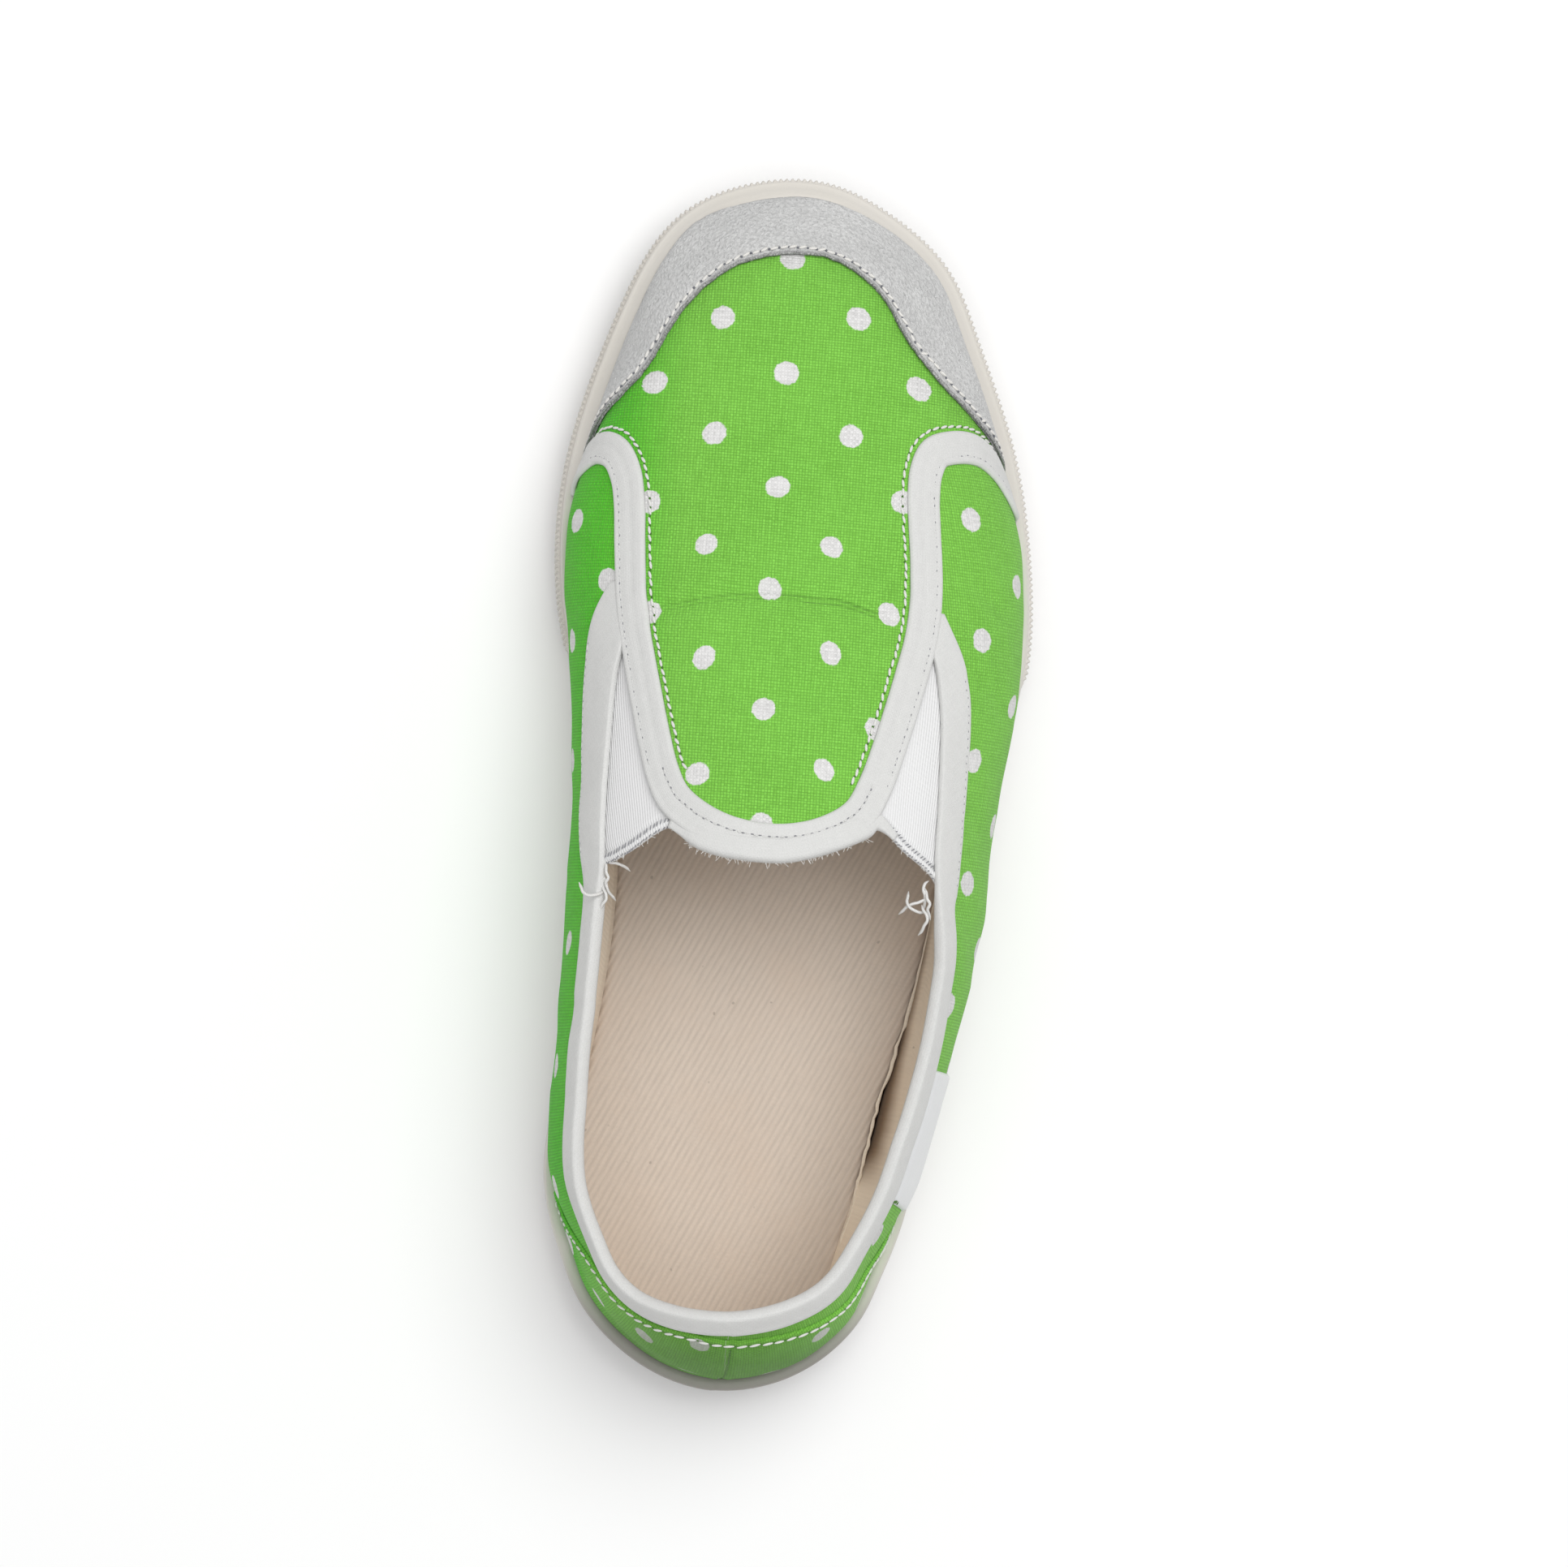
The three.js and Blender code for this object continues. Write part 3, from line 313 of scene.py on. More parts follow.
def settle(targets, flat=False):
    """Stations and girths of the last's points nearest to the targets, or straight below them."""
    targets = np.asarray(targets, float)
    shape, targets = targets.shape[:-1], targets.reshape(-1, 3)
    weight = np.array([1, 1, 0 if flat else 1])
    tree, stations, girths = TREES[flat]
    near = [tree.find(point * weight)[1] for point in targets]
    s, g = stations[near].copy(), girths[near].copy()
    top = 1.0 if flat else 1.5
    for _ in range(10):
        here = last_point(s, g)
        ds = (last_point(s + 0.02, g) - here) * 50 * weight
        dg = (last_point(s, g + 0.01) - here) * 100 * weight
        miss = (targets - here) * weight
        a, b, c = (ds * ds).sum(-1), (ds * dg).sum(-1), (dg * dg).sum(-1)
        det = np.maximum(a * c - b * b, 1e-6)
        along, down = (ds * miss).sum(-1), (dg * miss).sum(-1)
        s = s + np.clip((c * along - b * down) / det, -0.4, 0.4)
        g = g + np.clip((a * down - b * along) / det, -0.08, 0.08)
        over = g < 0
        g, s = np.where(over, -g, g), np.where(over, LOOP - s, s)
        g = np.clip(g, 0.002, top)
    return np.mod(s, LOOP).reshape(shape), g.reshape(shape)


def seated(targets, flat=False):
    s, g = settle(targets, flat)
    return last_point(s, g), last_normal(s, g)


def dropped(pairs):
    """Points of the last straight below a seam given as shares seen from above."""
    pairs = np.asarray(pairs, float)
    flat = np.concatenate([pairs * [WIDTH, LENGTH], np.zeros((len(pairs), 1))], -1)
    return last_point(*settle(flat, True))


def station_at(along, side):
    low, high = np.zeros_like(np.asarray(along, float)), np.full_like(np.asarray(along, float), TOE)
    for _ in range(40):
        middle = (low + high) / 2
        less = along_at(middle) < along
        low, high = np.where(less, middle, low), np.where(less, high, middle)
    return np.where(np.asarray(side) < 0, low, LOOP - low)


def through(knots, at, closed=False):
    """Centripetal curve through the knots, at knot numbers that may be fractions."""
    knots, at = np.asarray(knots, float), np.asarray(at, float)
    count = len(knots)
    if closed:
        first = np.floor(at).astype(int)
        share = (at - first)[:, None]
        p0, p1, p2, p3 = (knots[(first + k) % count] for k in (-1, 0, 1, 2))
    else:
        padded = np.concatenate([[2 * knots[0] - knots[1]], knots, [2 * knots[-1] - knots[-2]]])
        first = np.clip(np.floor(at).astype(int), 0, count - 2)
        share = (at - first)[:, None]
        p0, p1, p2, p3 = (padded[first + k] for k in (0, 1, 2, 3))
    d0, d1, d2 = (
        np.sqrt(np.linalg.norm(b - a, axis=-1, keepdims=True)) + 1e-6 for a, b in ((p0, p1), (p1, p2), (p2, p3)))
    t1 = ((p1 - p0) / d0 - (p2 - p0) / (d0 + d1) + (p2 - p1) / d1) * d1
    t2 = ((p2 - p1) / d1 - (p3 - p1) / (d1 + d2) + (p3 - p2) / d2) * d1
    cubic, square = 2 * p1 - 2 * p2 + t1 + t2, -3 * p1 + 3 * p2 - 2 * t1 - t2
    return ((cubic * share + square) * share + t1) * share + p1


def lengths(points):
    run = np.linalg.norm(np.diff(points, axis=0), axis=-1)
    return np.concatenate([[0], np.cumsum(run)])


def evenly(points, step=None, count=None):
    """The same line with points at even distances."""
    reach = lengths(points)
    count = count or max(2, round(reach[-1] / step) + 1)
    at = np.linspace(0, reach[-1], count)
    return np.stack([np.interp(at, reach, points[:, k]) for k in range(3)], -1)


def line_on_last(knots, step=None, count=None):
    knots = np.asarray(knots, float)
    fine = through(knots, np.linspace(0, len(knots) - 1, 12 * len(knots)))
    fine = seated(fine)[0]
    return seated(evenly(fine, step, count))


def run_across(points):
    """Distances from the first column of a net, along its rows."""
    steps = np.linalg.norm(np.diff(points, axis=1), axis=-1)
    return np.concatenate([np.zeros((len(points), 1)), np.cumsum(steps, 1)], 1)


def tangents(points):
    return unit(np.gradient(points, axis=0))


# Collar edge as a smooth closed line, by knot number
COLLAR_KNOTS = last_point(station_at(COLLAR_EDGE[:, 1], COLLAR_EDGE[:, 0]), COLLAR_EDGE[:, 2])


def collar_line(start, end, step):
    """Points, normals and upward directions of the free edge between two knot numbers."""
    fine = through(COLLAR_KNOTS, np.linspace(start, end, int(abs(end - start) * 16)), closed=True)
    points, normals = seated(evenly(seated(fine)[0], step))
    up = unit(np.cross(tangents(points), normals))
    return points, normals, up


def inside(outline, xy):
    """Which points lie inside a closed outline."""
    outline, xy = np.asarray(outline, float), np.asarray(xy, float)
    x, y = xy[..., 0], xy[..., 1]
    hit = np.zeros(x.shape, bool)
    for (ax, ay), (bx, by) in zip(outline, np.roll(outline, -1, 0)):
        spans = (ay > y) != (by > y)
        hit ^= spans & (x < ax + (bx - ax) * (y - ay) / np.where(by == ay, 1e-9, by - ay))
    return hit


# Main creases: line, width, depth. A trough with a softer ridge on its toe side.
CREASES = [
    ([(-28.0, 149.0), (-22.5, 151.5), (-10.0, 154.6), (0.0, 155.4), (12.0, 155.0), (22.0, 152.0)], 2.0, 0.80),
    ([(-20.0, 139.5), (-6.0, 135.4), (8.0, 135.6), (19.0, 139.0)], 2.2, 0.6),
    ([(-29.0, 170.0), (-16.0, 168.0), (-2.0, 170.0)], 3.2, 0.25),
    ([(26.5, 160.0), (14.0, 163.5), (4.0, 163.0)], 2.8, 0.28),
    ([(36.0, 163.0), (43.0, 158.5), (49.0, 153.0)], 1.8, 0.45),
    ([(37.0, 143.0), (44.0, 139.5), (48.5, 134.0)], 2.0, 0.40),
    ([(38.0, 99.0), (43.0, 92.0), (45.5, 82.0)], 2.2, 0.55),
    ([(39.0, 116.0), (44.0, 112.0), (47.0, 103.0)], 2.4, 0.35),
    ([(-37.0, 158.0), (-41.0, 150.0), (-42.0, 141.0)], 2.0, 0.45),
    ([(-34.0, 122.0), (-38.0, 112.0), (-39.5, 100.0)], 2.6, 0.45),
    ([(-33.0, 74.0), (-37.5, 66.0), (-38.5, 55.0)], 2.2, 0.40),
]


def away_from(line, xy):
    """Signed distance to an open line, and the share of the way along it."""
    line, best = np.asarray(line, float), None
    for k, (a, b) in enumerate(zip(line[:-1], line[1:])):
        run = b - a
        t = np.clip(((xy - a) @ run) / (run @ run), 0, 1)
        miss = xy - (a + t[..., None] * run)
        far = np.linalg.norm(miss, axis=-1)
        side = np.sign(run[0] * miss[..., 1] - run[1] * miss[..., 0])
        share = (k + t) / (len(line) - 1)
        if best is None:
            best = [far, side, share]
        else:
            nearer = far < best[0]
            best = [np.where(nearer, new, old) for new, old in zip((far, side, share), best)]
    return best[0] * best[1], best[2]


def wander(points, size, seed):
    """Smooth noise from -1 to 1 over points in millimetres."""
    flat = points.reshape(-1, 3) / size + seed * 17.3
    return np.array([noise.noise(p) for p in flat]).reshape(points.shape[:-1]) * 1.6


def relief(points):
    """How far the cloth stands off the last: slack, creases and pulls at the seams."""
    xy = points[..., :2]
    height = 0.22 * wander(points, 26.0, 1) + 0.10 * wander(points, 9.0, 2)
    for line, width, depth in CREASES:
        far, share = away_from(line, xy)
        fade = np.sin(np.pi * np.clip(share, 0.0, 1.0)) ** 0.6
        trough = bell(far, width)
        ridge = bell(far - 2.1 * width, 1.2 * width) + 0.6 * bell(far + 2.2 * width, 1.4 * width)
        height = height + depth * fade * (0.45 * ridge - trough)
    low = FOXING + toe_lift(points[..., 1])
    calm = eased(points[..., 2], low - 1.0, low + 9.0)
    heel = (1 - eased(xy[..., 1] / LENGTH, 0.10, 0.18)) * (
        HEEL_TUCK + HEEL_SIDE_TUCK * eased(np.abs(xy[..., 0]), 12.0, 28.0))
    toe = TOE_TUCK * eased(xy[..., 1] / LENGTH, 0.70, 0.80)
    rise = points[..., 2] - (low - 8.0)
    tucked = heel * eased(points[..., 2], FOXING, FOXING + 9.0) * (1 - eased(points[..., 2], 48.0, 66.0))
    return height * calm - tucked - toe * eased(rise, 0.0, 3.0) * (1 - eased(rise, 9.0, 27.0))


def lifted(points, normals, height):
    return points + normals * (relief(points) + height)[..., None]


# ---------------------------------------------------------------- materials


class Value:
    """A number that varies over a surface."""

    def __init__(self, finish, socket):
        self.finish, self.socket = finish, socket

    def maths(self, operation, *others):
        node = self.finish.node("ShaderNodeMath", {"operation": operation}, dict(enumerate((self, *others))))
        return Value(self.finish, node.outputs[0])

    def __add__(self, other):
        return self.maths("ADD", other)

    def __sub__(self, other):
        return self.maths("SUBTRACT", other)

    def __mul__(self, other):
        return self.maths("MULTIPLY", other)

    def __truediv__(self, other):
        return self.maths("DIVIDE", other)

    def __rsub__(self, other):
        return self.finish.number("SUBTRACT", other, self)

    def __rtruediv__(self, other):
        return self.finish.number("DIVIDE", other, self)

    __radd__, __rmul__ = __add__, __mul__

    def size(self):
        return self.maths("ABSOLUTE")

    def between(self, low, high):
        node = self.finish.node(
            "ShaderNodeMapRange", {"interpolation_type": "SMOOTHSTEP"},
            {"Value": self, "From Min": low, "From Max": high}
        )
        return Value(self.finish, node.outputs[0])


class Finish:
    """A material made of nodes around one surface shader."""

    def __init__(self, name, colour, roughness, **constants):
        self.material = bpy.data.materials.new("shoe_" + name)
        self.material.use_nodes = True
        self.tree = self.material.node_tree
        self.tree.nodes.clear()
        output = self.tree.nodes.new("ShaderNodeOutputMaterial")
        self.shader = self.node("ShaderNodeBsdfPrincipled", {}, {"Base Color": colour, "Roughness": roughness})
        for socket, value in constants.items():
            self.shader.inputs[socket.replace("_", " ")].default_value = value
        self.tree.links.new(self.shader.outputs[0], output.inputs["Surface"])

    def node(self, kind, settings=None, values=None):
        node = self.tree.nodes.new(kind)
        for name, value in (settings or {}).items():
            setattr(node, name, value)
        for key, value in (values or {}).items():
            self.feed(node.inputs[key], value)
        return node

    def feed(self, socket, value):
        if isinstance(value, Value):
            self.tree.links.new(value.socket, socket)
        elif isinstance(value, bpy.types.NodeSocket):
            self.tree.links.new(value, socket)
        else:
            socket.default_value = value

    def number(self, operation, *values):
        return Value(self, self.node("ShaderNodeMath", {"operation": operation}, dict(enumerate(values))).outputs[0])

    def place(self, layer=None):
        """Metres of the object, or millimetres of one of its own maps."""
        if layer:
            return self.node("ShaderNodeUVMap", {"uv_map": layer}).outputs[0]
        return self.node("ShaderNodeTexCoord").outputs["Object"]

    def parts(self, vector):
        node = self.node("ShaderNodeSeparateXYZ", {}, {0: vector})
        return [Value(self, node.outputs[k]) for k in range(3)]

    def stretched(self, vector, scale, turn=0.0):
        node = self.node("ShaderNodeMapping", {}, {"Vector": vector, "Rotation": (0, 0, turn), "Scale": scale})
        return node.outputs[0]

    def speckle(self, vector, scale, detail=2.0, roughness=0.5, warp=0.0):
        node = self.node("ShaderNodeTexNoise", {}, {
            "Vector": vector, "Scale": scale, "Detail": detail, "Roughness": roughness, "Distortion": warp,
        })
        return Value(self, node.outputs[0])

    def blend(self, factor, a, b, kind="MIX"):
        node = self.node(
            "ShaderNodeMix", {"data_type": "RGBA", "blend_type": kind, "clamp_factor": True}, {0: factor, 6: a, 7: b})
        return node.outputs[2]

    def relief(self, height, distance, strength=1.0, under=None):
        values = {"Height": height, "Distance": distance, "Strength": strength}
        if under is not None:
            values["Normal"] = under
        return self.node("ShaderNodeBump", {}, values).outputs[0]

    def use(self, **sockets):
        for name, value in sockets.items():
            self.feed(self.shader.inputs[name.replace("_", " ")], value)
        return self.material


def linear(red, green, blue):
    """A screen colour from 0 to 255 as a node's colour."""
    return tuple(((c / 255 + 0.055) / 1.055) ** 2.4 if c > 10 else c / 255 / 12.92 for c in (red, green, blue)) + (1.0,)


def opaque(colour):
    return tuple(colour)[:3] + (1.0,)


def tinted(colour, *shares):
    return opaque(c * share for c, share in zip(colour, shares))


def shade(colour, share):
    return tinted(colour, share, share, share)


def lighter(colour, share, more=0.0):
    return opaque(min(1, c * share + more) for c in colour[:3])


def weave(finish, coords, pitch):
    """Plain weave: thread height, and how light each thread is."""
    x, y, _ = finish.parts(coords)
    turn = math.pi / pitch
    warp, weft = (x * turn).maths("SINE"), (y * turn).maths("SINE")
    over = warp * weft
    height = over.size().maths("POWER", 0.55) + over * 0.3
    along = finish.speckle(finish.stretched(coords, (1 / pitch, 0.12 / pitch, 1)), 1.0, 1.0)
    across = finish.speckle(finish.stretched(coords, (0.12 / pitch, 1 / pitch, 1)), 1.0, 1.0)
    picked = over.between(-0.35, 0.35)
    light = along * picked + across * (1 - picked)
    return height, light


def canvas_finish(name):
    """Printed plain weave, with painted shade darkening the heel, deepening the green on the inner side and low down,
    and drawing in the main crease.
    """
    cloth, print_colour = opaque(colours().canvas), opaque(colours().dots)
    finish = Finish(name, cloth, 0.88, Sheen_Weight=0.08, Sheen_Roughness=0.5, Specular_IOR_Level=0.18)
    coords = finish.place("Cloth")
    height, light = weave(finish, coords, sizes().thread_pitch * 1000)
    u, v, _ = finish.parts(finish.place("Print"))
    ragged = finish.speckle(coords, 0.9, 2.0) - 0.5
    fray = finish.speckle(finish.stretched(coords, (1.6, 1.6, 1)), 1.6, 1.0) - 0.5
    a, b = (u + v) * 0.5, (u - v) * 0.5
    off_a, off_b = a - a.maths("ROUND"), b - b.maths("ROUND")
    dx, dy = (off_a + off_b) * COLUMN, (off_a - off_b) * ROW
    far = (dx * dx + dy * dy * 1.08 + dx * dy * 0.12).maths("SQRT")
    half = sizes().dot * 500
    dot = 1 - (far + ragged * 0.8 + fray * 0.35).between(half - 0.16, half + 0.16)
    body = finish.blend(light.between(0.30, 0.70), shade(cloth, 0.92), lighter(cloth, 1.13, 0.012))
    body = finish.blend(height.between(0.0, 0.8) * 0.75 + 0.25, shade(cloth, 0.48), body)
    x, y, z = finish.parts(finish.place())
    # painted shade: the inner side, and less so the cloth low down, turn darker and a deeper green
    deep = (0 - x).between(0.024, 0.042) + (0.034 - z).between(0.0, 0.012) * 0.35
    # painted shade: the back of the heel is darkened
    shaded = (0 - y).between(0.102, 0.116)
    body = finish.blend(shaded * 0.9, body, (0.42, 0.42, 0.42, 1.0), "MULTIPLY")
    body = finish.blend(deep, body, (0.36, 0.92, 0.24, 1.0), "MULTIPLY")
    far_off, reach, _ = finish.parts(finish.place("Crease"))
    pinch = far_off + (finish.speckle(coords, 0.25, 2.0) - 0.5) * 0.9
    # painted shade in and beside the main crease, darker towards its outer end
    painted_crease_shade = (1 - (pinch - 0.42).size().between(0.0, 0.42)) * 0.9
    painted_crease_shade = painted_crease_shade + (1 - (pinch + 0.48).size().between(0.0, 0.38)) * 0.65
    painted_crease_shade = painted_crease_shade * reach.between(0.0, 0.25) * (1 - reach.between(0.9, 1.0)) * (reach * 0.8 + 0.4)
    body = finish.blend(painted_crease_shade * 0.55, body, shade(cloth, 0.42))
    grain = finish.speckle(coords, 1.9, 2.0, 0.6)
    body = finish.blend((1 - grain.between(0.30, 0.55)) * 0.45, body, shade(cloth, 0.62))
    faded = finish.speckle(coords, 0.045, 3.0).between(0.3, 0.7)
    body = finish.blend(faded * 0.20, body, finish.blend(0.5, body, lighter(cloth, 1.25, 0.03)))
    white = finish.blend(light.between(0.25, 0.7), shade(print_colour, 0.80), print_colour)
    # painted shade: the dots at the back of the heel are darkened too
    white = finish.blend(shaded * 0.9, white, (0.42, 0.50, 0.36, 1.0), "MULTIPLY")
    bump = finish.relief(height, 0.00012, 0.85)
    slack = finish.speckle(coords, 0.16, 3.0)
    bump = finish.relief(slack, 0.0005, 0.55, bump)
    bump = finish.relief(1 - painted_crease_shade, 0.0003, 0.6, bump)
    return finish.use(Base_Color=finish.blend(dot, body, white), Normal=bump)


def tape_finish(name, colour, twill=False):
    """Folded cotton tape: fine weave, a little dirt in patches."""
    base = opaque(colour)
    finish = Finish(name, base, 0.85, Sheen_Weight=0.10, Sheen_Roughness=0.5, Specular_IOR_Level=0.25)
    coords = finish.place("Cloth")
    if twill:
        coords = finish.stretched(coords, (1, 1, 1), 0.7)
    height, light = weave(finish, coords, 0.36)
    grime = finish.speckle(coords, 0.10, 3.0, 0.6).between(0.35, 0.75)
    tone = finish.blend(light.between(0.25, 0.75), shade(base, 0.93), base)
    tone = finish.blend(grime * 0.35, tone, shade(base, 0.94))
    bump = finish.relief(height, 0.00008, 0.6)
    rumple = finish.speckle(coords, 0.22, 3.0)
    bump = finish.relief(rumple, 0.0004, 0.6, bump)
    return finish.use(Base_Color=tone, Normal=bump)


def elastic_finish(name):
    base = opaque(colours().elastic)
    finish = Finish(name, base, 0.8, Sheen_Weight=0.10, Sheen_Roughness=0.4, Specular_IOR_Level=0.3)
    x, y, _ = finish.parts(finish.place("Cloth"))
    ribs = (x * (2 * math.pi / 0.62)).maths("SINE") * 0.5 + 0.5
    cross = (y * (2 * math.pi / 1.05)).maths("SINE") * 0.5 + 0.5
    height = ribs * 0.75 + cross * ribs * 0.4
    fuzz = finish.speckle(finish.place("Cloth"), 1.7, 2.0)
    tone = finish.blend(ribs.between(0.0, 0.7), shade(base, 0.94), base)
    tone = finish.blend(fuzz.between(0.3, 0.7) * 0.4, tone, shade(base, 0.93))
    return finish.use(Base_Color=tone, Normal=finish.relief(height + fuzz * 0.4, 0.00011, 0.8))


def suede_finish(name):
    """Brushed suede, with fibres and a dark line at its raw edge."""
    base = opaque(colours().suede)
    finish = Finish(name, base, 0.95, Sheen_Weight=0.25, Sheen_Roughness=0.6, Specular_IOR_Level=0.15)
    coords = finish.place("Cloth")
    nap = finish.speckle(coords, 1.25, 3.0, 0.6, 0.4)
    fine = finish.speckle(coords, 4.5, 2.0, 0.6)
    brushed = finish.speckle(finish.stretched(coords, (0.06, 0.14, 1), 0.5), 1.0, 3.0, 0.55)
    tone = finish.blend(brushed.between(0.32, 0.68), shade(base, 0.88), lighter(base, 1.07))
    tone = finish.blend(fine.between(0.25, 0.75) * 0.55, tone, shade(base, 1.16))
    tone = finish.blend((1 - nap.between(0.36, 0.58)) * 0.7, tone, shade(base, 0.76))
    _, inward, _ = finish.parts(coords)
    fuzz = finish.speckle(coords, 2.6, 3.0, 0.7)
    raw = 1 - (inward + (fuzz - 0.5) * 1.2).between(0.15, 0.8)
    tone = finish.blend(raw * 0.9, tone, finish.blend(fuzz.between(0.38, 0.62), shade(base, 0.30), shade(base, 0.85)))
    bump = finish.relief(nap + fuzz * raw, 0.0011, 0.85)
    bump = finish.relief(fine, 0.0002, 0.5, bump)
    return finish.use(Base_Color=tone, Normal=bump)


def rubber_finish(name, share=1.0, grit=1.0):
    base = shade(colours().rubber, share)
    finish = Finish(name, base, 0.5, Specular_IOR_Level=0.45, Coat_Roughness=0.35)
    coords = finish.place()
    cloud = finish.speckle(coords, 32.0, 3.0)
    fine = finish.speckle(coords, 900.0, 2.0)
    _, y, z = finish.parts(coords)
    soiled = (1 - z.between(0.001, 0.012)) * finish.speckle(coords, 140.0, 4.0, 0.65).between(0.4, 0.75)
    tone = finish.blend(cloud.between(0.3, 0.7) * 0.5, base, tinted(base, 0.96, 0.95, 0.92))
    tone = finish.blend(soiled * 0.35, tone, shade(base, 0.62))
    # painted shade: the rubber at the back of the heel is darkened
    tone = finish.blend((0 - y).between(0.094, 0.116) * 0.8, tone, tinted(base, 0.38, 0.375, 0.37))
    bump = finish.relief(fine, 0.00012 * grit, 0.5)
    rough = fine * 0.18 + cloud * 0.12 + 0.36
    return finish.use(Base_Color=tone, Roughness=rough, Normal=bump, Coat_Weight=cloud.between(0.4, 0.8) * 0.12)


def twill_finish(name, colour, pitch=1.3, angle=-1.12, depth=1.0, stained=False):
    """Cotton twill: slanting ribs of short floats."""
    base = opaque(colour)
    finish = Finish(name, base, 0.92, Sheen_Weight=0.10, Sheen_Roughness=0.5, Specular_IOR_Level=0.2)
    coords = finish.place("Cloth")
    turned = finish.stretched(coords, (1, 1, 1), angle)
    x, y, _ = finish.parts(turned)
    shake = finish.speckle(coords, 0.5, 2.0) - 0.5
    rib = (y * (2 * math.pi / pitch) + shake * 1.2).maths("SINE") * 0.5 + 0.5
    beat = (x * (2 * math.pi / 0.85) + y * 2.4).maths("SINE") * 0.5 + 0.5
    height = rib * (beat * 0.3 + 0.7)
    slub = finish.speckle(finish.stretched(turned, (0.25, 1.6, 1)), 1.0, 2.0)
    cloud = finish.speckle(coords, 0.035, 4.0, 0.55)
    tone = finish.blend(height.between(0.02, 0.6), shade(base, 1 - 0.11 * depth), base)
    tone = finish.blend(slub.between(0.35, 0.75) * 0.35, tone, lighter(base, 1.12))
    tone = finish.blend(cloud.between(0.42, 0.72) * 0.5, tone, tinted(base, 1.0, 0.95, 0.91))
    fleck = finish.speckle(coords, 0.42, 1.0).between(0.76, 0.80)
    tone = finish.blend(fleck * 0.5, tone, shade(base, 0.45))
    # glue stain and painted shade: on the outer side, the lining turns to the board's brown deeper down in the slit
    # beside the insole
    if stained:
        low, along, _ = finish.parts(finish.place("StainAndShade"))
        glue_and_shade = (low + (finish.speckle(coords, 0.12, 3.0) - 0.5) * 0.35).between(0.12, 0.80)
        glue_and_shade = glue_and_shade * along.between(0.155, 0.20) * (1 - along.between(0.36, 0.42))
        tone = finish.blend(glue_and_shade * 0.9, tone, opaque(colours().board))
    bump = finish.relief(height, 0.00015 * depth, 0.8)
    bump = finish.relief(cloud, 0.0018, 0.5, bump)
    return finish.use(Base_Color=tone, Normal=bump)


def thread_finish(name, colour):
    base = opaque(colour)
    finish = Finish(name, base, 0.7, Sheen_Weight=0.15, Specular_IOR_Level=0.3)
    x, y, z = finish.parts(finish.place())
    ply = ((x + y + z * 0.5) * (2 * math.pi / 0.0004)).maths("SINE") * 0.5 + 0.5
    tone = finish.blend(ply * 0.6, base, shade(base, 0.8))
    return finish.use(Base_Color=tone, Normal=finish.relief(ply, 0.00006, 0.6))


def board_finish(name):
    base = opaque(colours().board)
    finish = Finish(name, base, 0.75, Specular_IOR_Level=0.3)
    coords = finish.place()
    smear = finish.speckle(coords, 120.0, 4.0, 0.6, 0.8)
    tone = finish.blend(smear.between(0.35, 0.7), shade(base, 0.6), lighter(base, 1.5))
    return finish.use(Base_Color=tone, Normal=finish.relief(smear, 0.0006, 0.8))


def satin_finish(name):
    base = linear(226, 227, 228)
    finish = Finish(name, base, 0.42, Sheen_Weight=0.15, Specular_IOR_Level=0.4)
    coords = finish.place("Cloth")
    _, y, _ = finish.parts(coords)
    threads = (y * (2 * math.pi / 0.26)).maths("SINE") * 0.5 + 0.5
    drift = finish.speckle(finish.stretched(coords, (0.2, 3.0, 1)), 1.0, 2.0)
    tone = finish.blend(drift.between(0.3, 0.7) * 0.6, base, shade(base, 0.94))
    return finish.use(Base_Color=tone, Normal=finish.relief(threads + drift * 0.4, 0.00005, 0.5))


def floor_finish():
    finish = Finish("pale_floor", (0.93, 0.93, 0.93, 1.0), 0.65, Specular_IOR_Level=0.2)
    cloud = finish.speckle(finish.place(), 6.0, 3.0)
    tone = finish.blend(cloud * 0.02, (0.93, 0.93, 0.93, 1.0), (0.88, 0.88, 0.89, 1.0))
    return finish.use(Base_Color=tone)


# ---------------------------------------------------------------- pieces

SHIFT = np.array([
    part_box("foxing")[1].x * 1000 - feather(np.arange(0, LOOP, 0.5), 3.0)[:, 0].max(), -120.0, 0.0,
])


def in_frame(points):
    return (points + SHIFT) / 1000


def finish_named(name, maker, *arguments, **settings):
    """The finish of that name, made once."""
    return bpy.data.materials.get("shoe_" + name) or maker(name, *arguments, **settings)


def dotted_canvas():
    return finish_named("dotted_canvas", canvas_finish)


def thread(kind):
    """The finish of a kind of thread, or of the painted shade of the holes between its stitches."""
    # the hole and seam tints are painted shade; the dark grey one also colours the elastics' zigzag stitching
    tints = {
        "white_thread": colours().thread, "tape_thread": colours().tape, "cap_thread": linear(230, 228, 223),
        "hollow_thread": linear(140, 140, 145), "shaded_thread": shade(colours().canvas, 0.30),
        "cap_hollow": linear(112, 114, 120),
    }
    return finish_named(kind, thread_finish, tints[kind])


def new_object(name, bm, finish, cad, smooth=True):
    mesh = bpy.data.meshes.new(name)
    bm.to_mesh(mesh)
    bm.free()
    if smooth:
        mesh.shade_smooth()
    piece = bpy.data.objects.new(name, mesh)
    bpy.context.scene.collection.objects.link(piece)
    mesh.materials.append(finish)
    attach(piece, "root")
    if cad:
        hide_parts(*cad)
    return piece


